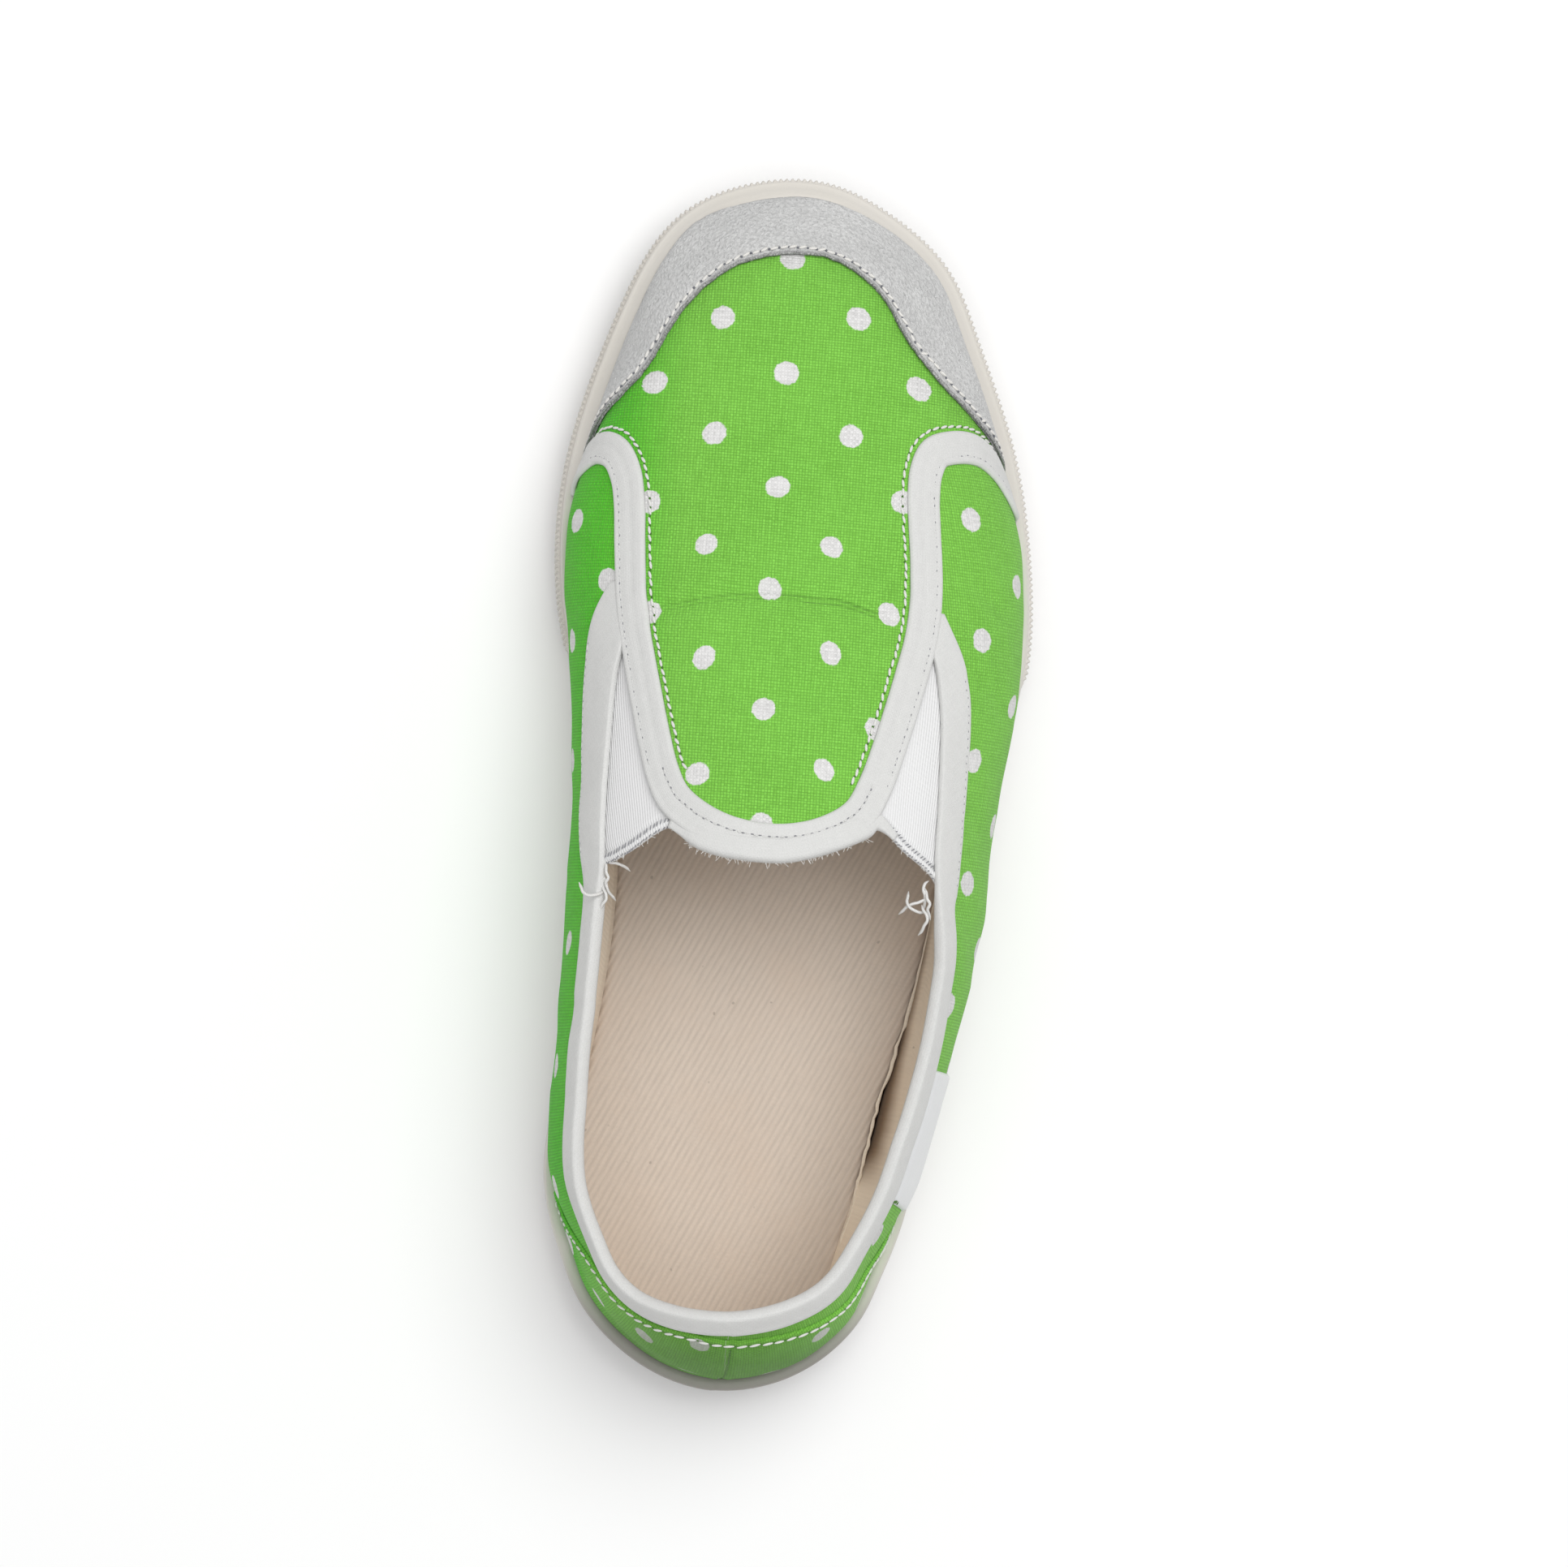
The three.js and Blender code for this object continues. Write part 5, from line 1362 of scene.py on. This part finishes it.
def counter_net():
    """Net of the heel counter, its top edge a little below the collar tape and falling to the foxing at both ends."""
    collar, _, up = collar_line(-14, 14, 1.0)
    gap = 4.5 + 2.3 * eased(np.abs(collar[:, 0]), 6.0, 24.0)
    lower_s, lower_g = settle(seated(collar - up * gap[:, None])[0])
    order = np.where(lower_s > TOE, lower_s - LOOP, lower_s)
    keys = np.argsort(order)
    counter_z = natural_cubic(COUNTER_EDGE[:, 0] * LENGTH, COUNTER_EDGE[:, 1] * INSTEP)
    s = np.linspace(float(station_at(0.148, 1)) - LOOP, float(station_at(0.148, -1)), 150)
    tape_g = np.interp(s, order[keys], lower_g[keys])
    girth = np.linspace(0.2, 1.5, 260)
    rib = last_point(s[:, None], girth[None])
    below = rib[..., 2] <= counter_z(np.minimum(rib[..., 1], 0.150 * LENGTH)) + 2.4
    counter_g = girth[np.argmax(below, axis=1)]
    first = np.maximum(tape_g, np.where(below.any(1), counter_g, 1.45))
    smooth = np.exp(-((np.arange(-9, 10) / 4.0) ** 2))
    first = np.convolve(np.pad(first, 9, mode="edge"), smooth / smooth.sum(), "valid")
    g = lerp(first[:, None], 1.515, (np.linspace(0, 1, 44) ** 1.25)[None])
    ss = np.broadcast_to(s[:, None], g.shape)
    return ss, g, last_point(ss, g), last_normal(ss, g)


class SHOE_OT_patches(bpy.types.Operator):
    """Make the heel counter, its back seam and the bare tab on the outer side"""

    bl_idname = "shoe.patches"
    bl_label = "Heel counter and side tab"

    def execute(self, context):
        ss, g, points, normals = counter_net()
        down = run_across(points)
        ends = np.minimum(lengths(points[:, 20])[:, None], lengths(points[:, 20])[-1] - lengths(points[:, 20])[:, None])
        height = 0.08 + 0.42 * rounded_edge(np.minimum(down, ends + 0.0), 0.8)
        height = height + 0.22 * np.exp(-(((down - 1.1) / 0.8) ** 2)) - 0.18 * np.exp(-(((down - 2.3) / 0.5) ** 2))
        seam = np.abs(points[..., 0] - 1.3) * eased(-points[..., 1] + 40, 0, 10)
        height = height - 0.30 * np.exp(-((seam / 0.45) ** 2)) + 0.16 * np.exp(-(((seam - 1.3) / 0.8) ** 2))
        cloth, dots = cloth_maps(ss, g)
        crease = np.zeros(dots.shape) + [50.0, 0.0]
        bm = net(lifted(points, normals, height), {"Cloth": cloth, "Print": dots, "Crease": crease}, normals)
        piece = new_object("heel_counter_canvas", bm, dotted_canvas(), ["heel_counter"])
        thicken(piece, 0.4)

        collar, normals, up = collar_line(25.5, 31.5, 0.5)
        y = collar[:, 1]
        rows = (y > 0.163 * LENGTH) & (y < 0.273 * LENGTH)
        top = seated(collar - up * 5.4)[0][rows]
        bottom_s, _ = settle(top)
        girth = np.linspace(0.3, 1.3, 400)
        rib = last_point(bottom_s[:, None], girth[None])
        at = np.argmax(rib[..., 2] <= 40.0, axis=1)
        bottom = rib[np.arange(len(at)), at]
        share = np.linspace(0, 1, 20)
        chord = lerp(top[:, None], bottom[:, None], share[None, :, None])
        points, normals = seated(chord)
        width = np.linalg.norm(bottom - top, axis=-1)[:, None] * share[None]
        total = np.linalg.norm(bottom - top, axis=-1)[:, None]
        run = lengths(points[:, 8])[:, None]
        edge = np.minimum(np.minimum(run, run[-1] - run), np.minimum(width, total - width) + 0 * run)
        height = 0.12 + 0.6 * rounded_edge(edge, 0.6) + 0.05 * wander(points, 7.0, 6)
        bm = net(lifted(points, normals, height), {"Cloth": map_of(points)}, normals)
        tab = new_object("side_tab_tape", bm, finish_named("satin_tab", satin_finish), ["side_tab"])
        thicken(tab, 0.5)
        return {"FINISHED"}


GORES = {
    "gore_medial": (INNER_GORE, 14.3, 11.4, (-0.354, 0.413)),
    "gore_lateral": (OUTER_GORE, 20.6, 23.6, (0.386, 0.409)),
}


def gore_rim(name, count=44):
    """Free edge of an elastic, from the band to the front tape, with the direction into the elastic."""
    _, start, end, corner = GORES[name]
    rim = np.concatenate([through(COLLAR_KNOTS, np.linspace(start, end, 60), closed=True), dropped([corner])])
    rim = evenly(seated(evenly(rim, count=80))[0], count=count)
    side = unit(np.cross(tangents(rim), last_normal(*settle(rim))))
    return rim, side * np.sign(side[:, 1:2].mean())


class SHOE_OT_elastics(bpy.types.Operator):
    """Make the two ribbed elastics with their folded free edge and raw rear edge"""

    bl_idname = "shoe.elastics"
    bl_label = "Elastics"

    def execute(self, context):
        for name, ((band, tape), *_) in GORES.items():
            count, wide = 90, 44
            left = evenly(seated(through(dropped(band), np.linspace(0, len(band) - 1, 80)))[0], count=count)
            right = evenly(seated(through(dropped(tape), np.linspace(0, len(tape) - 1, 80)))[0], count=count)
            rim, _ = gore_rim(name, wide)
            left = left + eased(np.linspace(0, 1, count), 0, 1)[:, None] * (rim[0] - left[-1])
            right = right + eased(np.linspace(0, 1, count), 0, 1)[:, None] * (rim[-1] - right[-1])
            t = np.linspace(0, 1, wide)
            chord = lerp(left[:, None], right[:, None], t[None, :, None])
            u = np.linspace(0, 1, count)[:, None, None]
            sag = rim[None] - lerp(rim[0], rim[-1], t[:, None])[None]
            points, normals = seated(chord + sag * u**1.6)
            run = np.linalg.norm(points - points[-1:], axis=-1)
            slack = np.sin(np.pi * t)[None] * (0.35 + 0 * run)
            fold = 0.55 * np.exp(-(((run - 0.9) / 1.0) ** 2)) - 0.25 * np.exp(-(((run - 2.6) / 0.5) ** 2))
            height = -0.45 - slack * 0.5 + fold + 0.06 * wander(points, 6.0, 7)
            height = np.where(run < 0.35, height - (0.35 - run) * 1.2, height)
            cloth = map_of(points)
            bm = net(lifted(points, normals, height), {"Cloth": cloth[..., ::-1]}, normals)
            piece = new_object(name + "_ribbed", bm, finish_named("elastic", elastic_finish), [name])
            thicken(piece, 0.95)
        return {"FINISHED"}


class SHOE_OT_toe_cap(bpy.types.Operator):
    """Make the suede toe cap with its raw rear edge"""

    bl_idname = "shoe.toe_cap"
    bl_label = "Toe cap"

    def execute(self, context):
        points, normals = cap_points()
        run = run_across(points)
        thick = sizes().suede_thickness * 1000
        height = 0.08 + thick * (0.72 + 0.28 * rounded_edge(run, 0.35))
        stitch = lengths(points[:, 3])[:, None]
        pucker = 0.7 + 0.3 * np.cos(2 * np.pi * stitch / 2.2)
        height = height - 0.30 * pucker * np.exp(
            -(((run - 1.45) / 0.5) ** 2)) + 0.10 * np.exp(-(((run - 3.0) / 1.0) ** 2))
        height = height + 0.10 * wander(points, 9.0, 11) + 0.05 * wander(points, 2.6, 13)
        height = height * (0.35 + 0.65 * eased(run[:, -1:] - run, 0.0, 5.0))
        cloth = map_of(points)
        cloth[..., 1] = run
        bm = net(points + normals * (height + relief(points))[..., None], {"Cloth": cloth}, normals)
        piece = new_object("toe_cap_suede", bm, finish_named("toe_suede", suede_finish), ["toe_cap"])
        thicken(piece, thick * 0.85)
        return {"FINISHED"}


def cap_points(count=300, rows=34):
    """Net of the toe cap from its rear edge to the foxing."""
    knots = dropped(CAP_EDGE)
    first = last_point(station_at(np.array([0.757, 0.762]), -1), np.array([1.52, 1.2]))
    last = last_point(station_at(np.array([0.776, 0.770]), 1), np.array([1.2, 1.52]))
    edge = evenly(
        seated(through(np.concatenate([first, knots, last]), np.linspace(0, len(knots) + 3, 400)))[0], count=count)
    t = np.linspace(0, 1, count)
    ragged = 0.16 * wander(edge, 2.2, 21) + 0.10 * wander(edge, 0.8, 22)
    s0, s1 = float(station_at(0.757, -1)), float(station_at(0.770, 1))
    foot_s = np.linspace(s0, s1, 1200)
    foot = last_point(foot_s, np.full(1200, 1.53))
    reach = lengths(foot)
    foot = np.stack([np.interp(t * reach[-1], reach, foot[:, k]) for k in range(3)], -1)
    away = unit(foot - edge)
    edge = edge + away * (ragged * eased(np.minimum(t, 1 - t), 0, 0.02))[:, None]
    share = np.linspace(0, 1, rows) ** 1.35
    chord = lerp(edge[:, None], foot[:, None], share[None, :, None])
    s, g = settle(chord)
    g[:, -1] = np.maximum(g[:, -1], 1.5)
    points = last_point(s, g)
    return points, last_normal(s, g)


def folded_net(points, normals, up, outer, turn, thickness, top, inner, fade=False):
    """Tape folded over an edge, from its outer line over the edge and down the inside. Sizes may change along it."""
    count = len(points)
    turn, top, inner, thickness = (
        np.broadcast_to(np.asarray(v, float), (count,)) for v in (turn, top, inner, thickness))
    outer_share = [1.0, 0.985, 0.95, 0.88, 0.72, 0.55, 0.4, 0.26, 0.12, 0.0]
    outer_h = [0.06, 0.55, 0.85, 1.0, 0.93, 0.98, 1.02, 1.05, 1.08, 1.08]
    if fade:
        outer_h = [0.35, 0.6, 0.8, 0.95, 1.02, 1.03, 1.04, 1.05, 1.08, 1.08]
    slack = relief(points)

    def on_wall(line, height):
        at, n = seated(line)
        return at + n * (relief(at) + height)[:, None]

    def within(share):
        return points - up * (turn * share)[:, None]

    columns = [on_wall(lerp(points, outer, d), h * thickness + 0.05) for d, h in zip(outer_share, outer_h)]
    high = 1.08 * thickness + 0.05
    for angle in np.linspace(0, np.pi, 11)[1:-1]:
        out = (high + inner) / 2 + (high - inner) / 2 * math.cos(angle)
        columns.append(points + normals * (out + slack)[:, None] + up * (top * math.sin(angle) ** 0.85)[:, None])
    under = inner + 0.12 + 0.3 * eased(-inner, 0.8, 1.6)
    for share, height in ((0.0, inner), (0.4, inner), (0.8, inner), (0.95, inner * 0.9 + under * 0.1), (1.0, under - 0.02),
                          (0.4, under), (0.0, under)):
        columns.append(on_wall(within(share), height))
    columns.append(points + normals * (slack + (under + 0.04) / 2)[:, None] + up * (top * 0.2)[:, None])
    for share in (0.0, 0.5, 0.92):
        columns.append(on_wall(lerp(points, outer, share), np.full(count, 0.04)))
    columns.append(columns[0])
    ring = np.stack(columns, 1)
    return ring, map_of(ring)


def binding_line(step=0.8):
    """Edge that the long tape is folded over, beside both elastics and round the heel, with the tape's outer line."""
    front_outer = dropped(OUTER_FRONT[1][::-1])[:-1]
    front_inner = dropped(INNER_FRONT[1])[1:]
    knots = np.concatenate([front_outer, COLLAR_KNOTS[25:], COLLAR_KNOTS[:11], front_inner])
    fine = through(knots, np.linspace(0, len(knots) - 1, 16 * len(knots)))
    points, normals = seated(evenly(seated(fine)[0], step))
    up = unit(np.cross(tangents(points), normals))
    along = points[:, 1] / LENGTH
    outer_drop = natural_cubic(
        [0.0, 0.08, 0.19, 0.256, 0.326, 0.385, 0.6, 1.0], [4.4, 4.8, 5.2, 5.4, 4.4, 4.6, 4.6, 4.6])(along)
    drop = np.where(points[:, 0] > 0, outer_drop, lerp(4.4, 5.0, eased(along, 0.02, 0.30)))
    low = seated(points - up * drop[:, None])[0]
    rails = [natural_cubic(*np.array(rail[0]).T[::-1])(along) for rail in (INNER_FRONT, OUTER_FRONT)]
    across = np.where(points[:, 0] < 0, *rails)
    ahead = eased(along, 0.375, 0.43)
    rail = dropped(np.stack([np.where(along > 0.37, across, 0.4 * np.sign(points[:, 0])), along], -1))
    return points, normals, up, lerp(low, rail, ahead[:, None]), ahead


class SHOE_OT_tapes(bpy.types.Operator):
    """Make the band round the vamp, the folded collar tape and the tapes beside the elastics"""

    bl_idname = "shoe.tapes"
    bl_label = "Band and collar tapes"

    def execute(self, context):
        thick = sizes().tape_thickness * 1000
        tape = finish_named("cotton_tape", tape_finish, colours().tape)
        left, right = band_rails()
        ring, cloth = tape_net(left, right, thick, furrows=[(2.9, 0.26), (-1.5, 0.16)], ridge=(-0.9, 0.10), columns=20)
        bm = net(ring, {"Cloth": cloth}, closed=True, ends=True)
        new_object("vamp_band_tape", bm, tape, ["vamp_band"])
        points, normals, up = collar_line(13.0, 21.6, 0.6)
        reach = lengths(points)
        full = eased(np.minimum(reach, reach[-1] - reach), 0.5, 8.0)
        outer = seated(points - up * (1.2 + 2.4 * full)[:, None])[0]
        ring, cloth = folded_net(
            points, normals, up, outer, 0.8 + 3.2 * full, thick * (0.6 + 0.43 * full), 0.5 + 0.75 * full,
            lerp(-0.3, -1.9, full), fade=True,
        )
        bm = net(ring, {"Cloth": cloth}, closed=True, ends=True)
        new_object("throat_fold", bm, tape, ["vamp_band"])
        twill = finish_named("collar_twill", tape_finish, colours().tape, twill=True)
        points, normals, up, outer, ahead = binding_line()
        apex = eased(points[:, 1] / LENGTH, 0.59, 0.64)
        ring, cloth = folded_net(
            points, normals, up, outer, lerp(2.4, 0.9, ahead), thick * (1 - 0.35 * apex), lerp(0.8, 0.4, ahead),
            lerp(-1.62, -0.28, ahead),
        )
        bm = net(ring, {"Cloth": cloth}, closed=True, ends=True)
        new_object("collar_tape", bm, twill, ["collar_binding"])
        return {"FINISHED"}


def band_rails():
    """Vamp-side and gore-side edges of the band, from the outer foot round the throat to the inner foot."""
    points, normals = line_on_last(band_line(), step=0.8)
    points[:, 2] = np.minimum(points[:, 2], 200)
    side = unit(np.cross(normals, tangents(points)))
    half = sizes().tape_width * 500
    # the path runs from the outer side to the inner side, so its left is the throat's side
    return points - side * half, points + side * half


class SHOE_OT_stitches(bpy.types.Operator):
    """Sew the seams: band, toe cap, front tapes, heel counter and tab"""

    bl_idname = "shoe.stitches"
    bl_label = "Stitches"

    def execute(self, context):
        wide = sizes().thread_width * 1000
        pitch = sizes().stitch_pitch * 1000
        thick = sizes().tape_thickness * 1000
        left, right = band_rails()
        across = unit(right - left)
        on_band, band_hole_shade = bmesh.new(), bmesh.new()
        throat = (left[:, 1] < 121) & (np.abs(left[:, 0]) < 26)
        for some, inset, side in (
            (throat, 2.9, left), ((right[:, 0] > 0) & (right[:, 1] > 118) & (right[:, 2] > 33), -1.5, right),
            ((right[:, 0] < 0) & (right[:, 1] > 118) & (right[:, 2] > 33), -1.5, right),
        ):
            row, n = seated((side + across * inset)[some])
            add_stitches(on_band, row, n, TAPE_PITCH, 0.95, wide * 0.85, height=thick - 0.04)
            # dark beads between the stitches: painted shade of the needle holes
            add_stitches(band_hole_shade, row, n, TAPE_PITCH, 0.62, wide * 0.62, height=thick - 0.05, shift=0.5, seed=4)
        new_object("band_stitches", on_band, thread("tape_thread"), ["vamp_band"])
        new_object("band_hole_shade", band_hole_shade, thread("hollow_thread"), ["vamp_band"])

        on_vamp, vamp_hole_shade = bmesh.new(), bmesh.new()
        row, n = seated(left - across * 0.95)
        sides = (row[:, 1] > 119) & (row[:, 2] > 31.0)
        for part in (row[:, 0] > 0, row[:, 0] < 0):
            some = sides & part
            add_stitches(on_vamp, row[some], n[some], SEAM_PITCH, 1.72, wide * 1.35, height=0.18, slant=0.2)
            # dark beads between the stitches: painted shade of the needle holes
            add_stitches(vamp_hole_shade, row[some], n[some], SEAM_PITCH, 0.6, wide * 1.15, height=0.0, shift=0.5, seed=4)
        new_object("vamp_stitches", on_vamp, thread("white_thread"), ["upper"])
        new_object("vamp_hole_shade", vamp_hole_shade, thread("shaded_thread"), ["upper"])

        on_cap, cap_hole_shade = bmesh.new(), bmesh.new()
        points, normals = cap_points()
        run = run_across(points)
        at = np.argmax(run >= 1.45, axis=1)
        row, n = points[np.arange(len(at)), at], normals[np.arange(len(at)), at]
        fine = row[:, 2] > foxing_top(settle(row)[0]) + 0.8
        add_stitches(on_cap, row[fine], n[fine], SEAM_PITCH, 1.75, wide * 1.4, height=1.36, slant=0.2)
        # dark beads between the stitches: painted shade of the needle holes
        add_stitches(cap_hole_shade, row[fine], n[fine], SEAM_PITCH, 0.6, wide * 1.3, height=1.22, shift=0.5, seed=4)
        new_object("cap_stitches", on_cap, thread("cap_thread"), ["toe_cap"])
        new_object("cap_hole_shade", cap_hole_shade, thread("cap_hollow"), ["toe_cap"])

        on_front, front_hole_shade = bmesh.new(), bmesh.new()
        edge, _, up, outer, _ = binding_line()
        toward = unit(outer - edge)
        for part in (edge[:, 0] > 0, edge[:, 0] < 0):
            some = part & (edge[:, 1] > 0.42 * LENGTH) & (edge[:, 1] < 0.60 * LENGTH)
            for line in (edge[some] + toward[some] * 1.0, outer[some] - toward[some] * 1.1):
                row, n = seated(line)
                add_stitches(on_front, row, n, 1.6, 0.95, wide * 0.8, height=thick - 0.01, seed=7)
                # dark beads between the stitches: painted shade of the needle holes
                add_stitches(front_hole_shade, row, n, 1.6, 0.5, wide * 0.55, height=thick - 0.01, seed=8, shift=0.5)
        new_object("front_stitches", on_front, thread("tape_thread"), ["collar_binding"])
        new_object("front_hole_shade", front_hole_shade, thread("hollow_thread"), ["collar_binding"])

        on_heel, heel_painted_shade = bmesh.new(), bmesh.new()
        _, _, points, _ = counter_net()
        down = run_across(points)
        row, n = seated(points[np.arange(150), np.argmax(down >= 1.0, axis=1)][3:-3])
        add_stitches(on_heel, row, n, pitch, 2.2, wide * 1.3, height=0.84, slant=0.2)
        # dark beads between the stitches: painted shade of the needle holes
        add_stitches(heel_painted_shade, row, n, pitch, 0.5, wide, height=0.66, shift=0.5, seed=4)
        # dark beads down the back seam: painted shade in the seam
        column = np.stack([np.full(24, 1.3), np.full(24, -2.0), np.linspace(68.0, 25.5, 24)], -1)
        row, n = seated(column)
        add_stitches(heel_painted_shade, row, n, 1.15, 1.1, wide * 0.7, height=0.40, seed=6)
        new_object("heel_stitches", on_heel, thread("white_thread"), ["heel_counter"])
        # slanted dark beads below the collar near the tab: painted shade
        collar, _, up = collar_line(27, 31.5, 0.5)
        near = np.argmin(np.abs(collar[:, 1] - 0.166 * LENGTH))
        root, down = collar[near], -up[near]
        row, n = seated(root + down * np.linspace(4.6, 8.6, 12)[:, None])
        add_stitches(heel_painted_shade, row, n, 0.9, 0.9, wide * 0.8, height=0.75, slant=1.1, wobble=0.25, seed=15)
        new_object("heel_painted_shade", heel_painted_shade, thread("shaded_thread"), ["heel_counter"])
        return {"FINISHED"}


def add_hairs(bm, points, normals, away, count, long, thick, seed):
    """Short fibres that stand off an edge."""
    rng = np.random.default_rng(seed)
    for k in rng.integers(2, len(points) - 2, count):
        turn = rng.normal(0, 0.6)
        run = tangents(points)[k]
        way = away[k] * math.cos(turn) + run * math.sin(turn) + normals[k] * rng.normal(0.1, 0.25)
        bend = unit(rng.normal(0, 1, 3))
        reach = long * rng.uniform(0.5, 1.3)
        spots = [points[k] + way * reach * f + bend * reach * 0.25 * f * f for f in (0.0, 0.35, 0.7, 1.0)]
        add_thread(bm, np.array(spots), thick)


class SHOE_OT_threads(bpy.types.Operator):
    """Leave loose threads at the ends of the elastics and sew their free edges over"""

    bl_idname = "shoe.threads"
    bl_label = "Loose threads"

    def execute(self, context):
        wide = sizes().thread_width * 1000
        loose = {"gore_medial": bmesh.new(), "gore_lateral": bmesh.new()}
        for name, starts in (
            ("gore_lateral", [((0.352, 0.424), -2.4), ((0.345, 0.418), -1.6), ((0.352, 0.410), -2.9), ((0.340, 0.404), -1.2), ((0.348, 0.398), -2.2)]),
            ("gore_medial", [((-0.336, 0.426), -1.2), ((-0.331, 0.420), -1.7), ((-0.338, 0.412), -1.4), ((-0.334, 0.402), -1.3), ((-0.330, 0.396), -1.6)]),
        ):
            rng = np.random.default_rng(11)
            for (x, y), turn in starts:
                root = dropped([(x, y)])[0] + [0, 0, -0.8]
                spots, heading = [root], turn
                for k in range(6):
                    heading += rng.normal(0, 0.45)
                    spots.append(
                        spots[-1] + np.array([math.cos(heading) * 1.1, math.sin(heading) * 1.1, (1.2, 0.6, 0.0, -0.5, -0.9, -1.0)[k]]))
                add_thread(loose[name], np.array(spots), wide * 1.35)
            zigzag, rim = bmesh.new(), gore_rim(name)
            row, n = seated(rim[0] + rim[1] * 1.5)
            add_stitches(zigzag, row, n, 0.85, 1.15, wide * 0.55, height=-0.03, slant=1.05, seed=9)
            row, n = seated(rim[0] + rim[1] * 0.15)
            add_stitches(zigzag, row, n, 0.8, 0.7, wide * 0.6, height=-0.25, slant=0.6, wobble=0.18, seed=12)
            new_object(name + "_zigzag", zigzag, thread("hollow_thread"), [name])
            add_hairs(loose[name], rim[0], last_normal(*settle(rim[0])), -rim[1], 14, 1.0, 0.11, 21)
            new_object(name + "_threads", loose[name], thread("white_thread"), [name])
        hairs = bmesh.new()
        points, normals, up = collar_line(14.4, 20.6, 0.4)
        add_hairs(hairs, points + up * 1.0 - normals * 0.3, normals, up, 70, 1.1, 0.10, 23)
        new_object("throat_hairs", hairs, thread("white_thread"), ["vamp_band"])
        return {"FINISHED"}


class SHOE_OT_stage(bpy.types.Operator):
    """Set the floor, the lights and the camera over the shoe"""

    bl_idname = "shoe.stage"
    bl_label = "Stage"

    def execute(self, context):
        scene = context.scene
        bm = bmesh.new()
        bmesh.ops.create_grid(bm, x_segments=8, y_segments=8, size=3.0)
        mesh = bpy.data.meshes.new("floor")
        bm.to_mesh(mesh)
        bm.free()
        floor = bpy.data.objects.new("floor", mesh)
        scene.collection.objects.link(floor)
        mesh.materials.append(floor_finish())

        world = bpy.data.worlds.new("studio")
        world.use_nodes = True
        world.node_tree.nodes["Background"].inputs[0].default_value = (1.0, 1.0, 1.0, 1.0)
        world.node_tree.nodes["Background"].inputs[1].default_value = 0.46
        scene.world = world
        for name, at, aim, size, power in (
            ("key", (0.28, 0.42, 1.40), (0, 0, 0.02), 0.9, 8.6),
            ("top", (-0.05, 0.0, 1.60), (0, 0, 0.02), 1.3, 9.5),
        ):
            lamp = bpy.data.lights.new(name, "AREA")
            lamp.shape, lamp.size, lamp.energy = "DISK", size, power
            stand = bpy.data.objects.new(name, lamp)
            stand.location = at
            stand.rotation_mode = "QUATERNION"
            stand.rotation_quaternion = (Vector(aim) - Vector(at)).to_track_quat("-Z", "Y")
            scene.collection.objects.link(stand)

        camera = bpy.data.cameras.new("camera")
        camera.lens, camera.sensor_width = 134.0, 36.0
        camera.clip_start, camera.clip_end = 0.05, 20.0
        eye = bpy.data.objects.new("camera", camera)
        eye.location = (-0.05417, -0.0442, 1.2)
        eye.rotation_mode = "QUATERNION"
        back = (eye.location - Vector((0.0, 0.0, 0.02))).normalized()
        lean = math.radians(4.386)
        right = Vector((-math.sin(lean), math.cos(lean), 0.0)).cross(back).normalized()
        eye.rotation_quaternion = Matrix((right, back.cross(right), back)).transposed().to_quaternion()
        scene.collection.objects.link(eye)
        scene.camera = eye
        scene.view_settings.view_transform = "Standard"
        return {"FINISHED"}


class SHOE_PT_panel(bpy.types.Panel):
    """Sizes, colours and pieces of the shoe"""

    bl_label = "Slip-on shoe"
    bl_idname = "SHOE_PT_panel"
    bl_space_type = "VIEW_3D"
    bl_region_type = "UI"
    bl_category = "Shoe"

    def draw(self, context):
        for group in (context.scene.shoe_sizes, context.scene.shoe_colours):
            box = self.layout.box()
            for name in group.__annotations__:
                box.prop(group, name)
        for operator in OPERATORS:
            self.layout.operator(operator.bl_idname)


GROUPS = (ShoeSizes, ShoeColours)
OPERATORS = (
    SHOE_OT_outsole, SHOE_OT_sidewall, SHOE_OT_insole, SHOE_OT_upper, SHOE_OT_patches, SHOE_OT_elastics,
    SHOE_OT_toe_cap, SHOE_OT_tapes, SHOE_OT_stitches, SHOE_OT_threads, SHOE_OT_stage,
)


def register():
    for kind in (*GROUPS, *OPERATORS, SHOE_PT_panel):
        bpy.utils.register_class(kind)
    bpy.types.Scene.shoe_sizes = PointerProperty(type=ShoeSizes)
    bpy.types.Scene.shoe_colours = PointerProperty(type=ShoeColours)


def unregister():
    del bpy.types.Scene.shoe_sizes
    del bpy.types.Scene.shoe_colours
    for kind in reversed((*GROUPS, *OPERATORS, SHOE_PT_panel)):
        bpy.utils.unregister_class(kind)


def main():
    register()
    for operator in OPERATORS:
        group, name = operator.bl_idname.split(".")
        getattr(getattr(bpy.ops, group), name)()


if __name__ == "__main__":
    main()
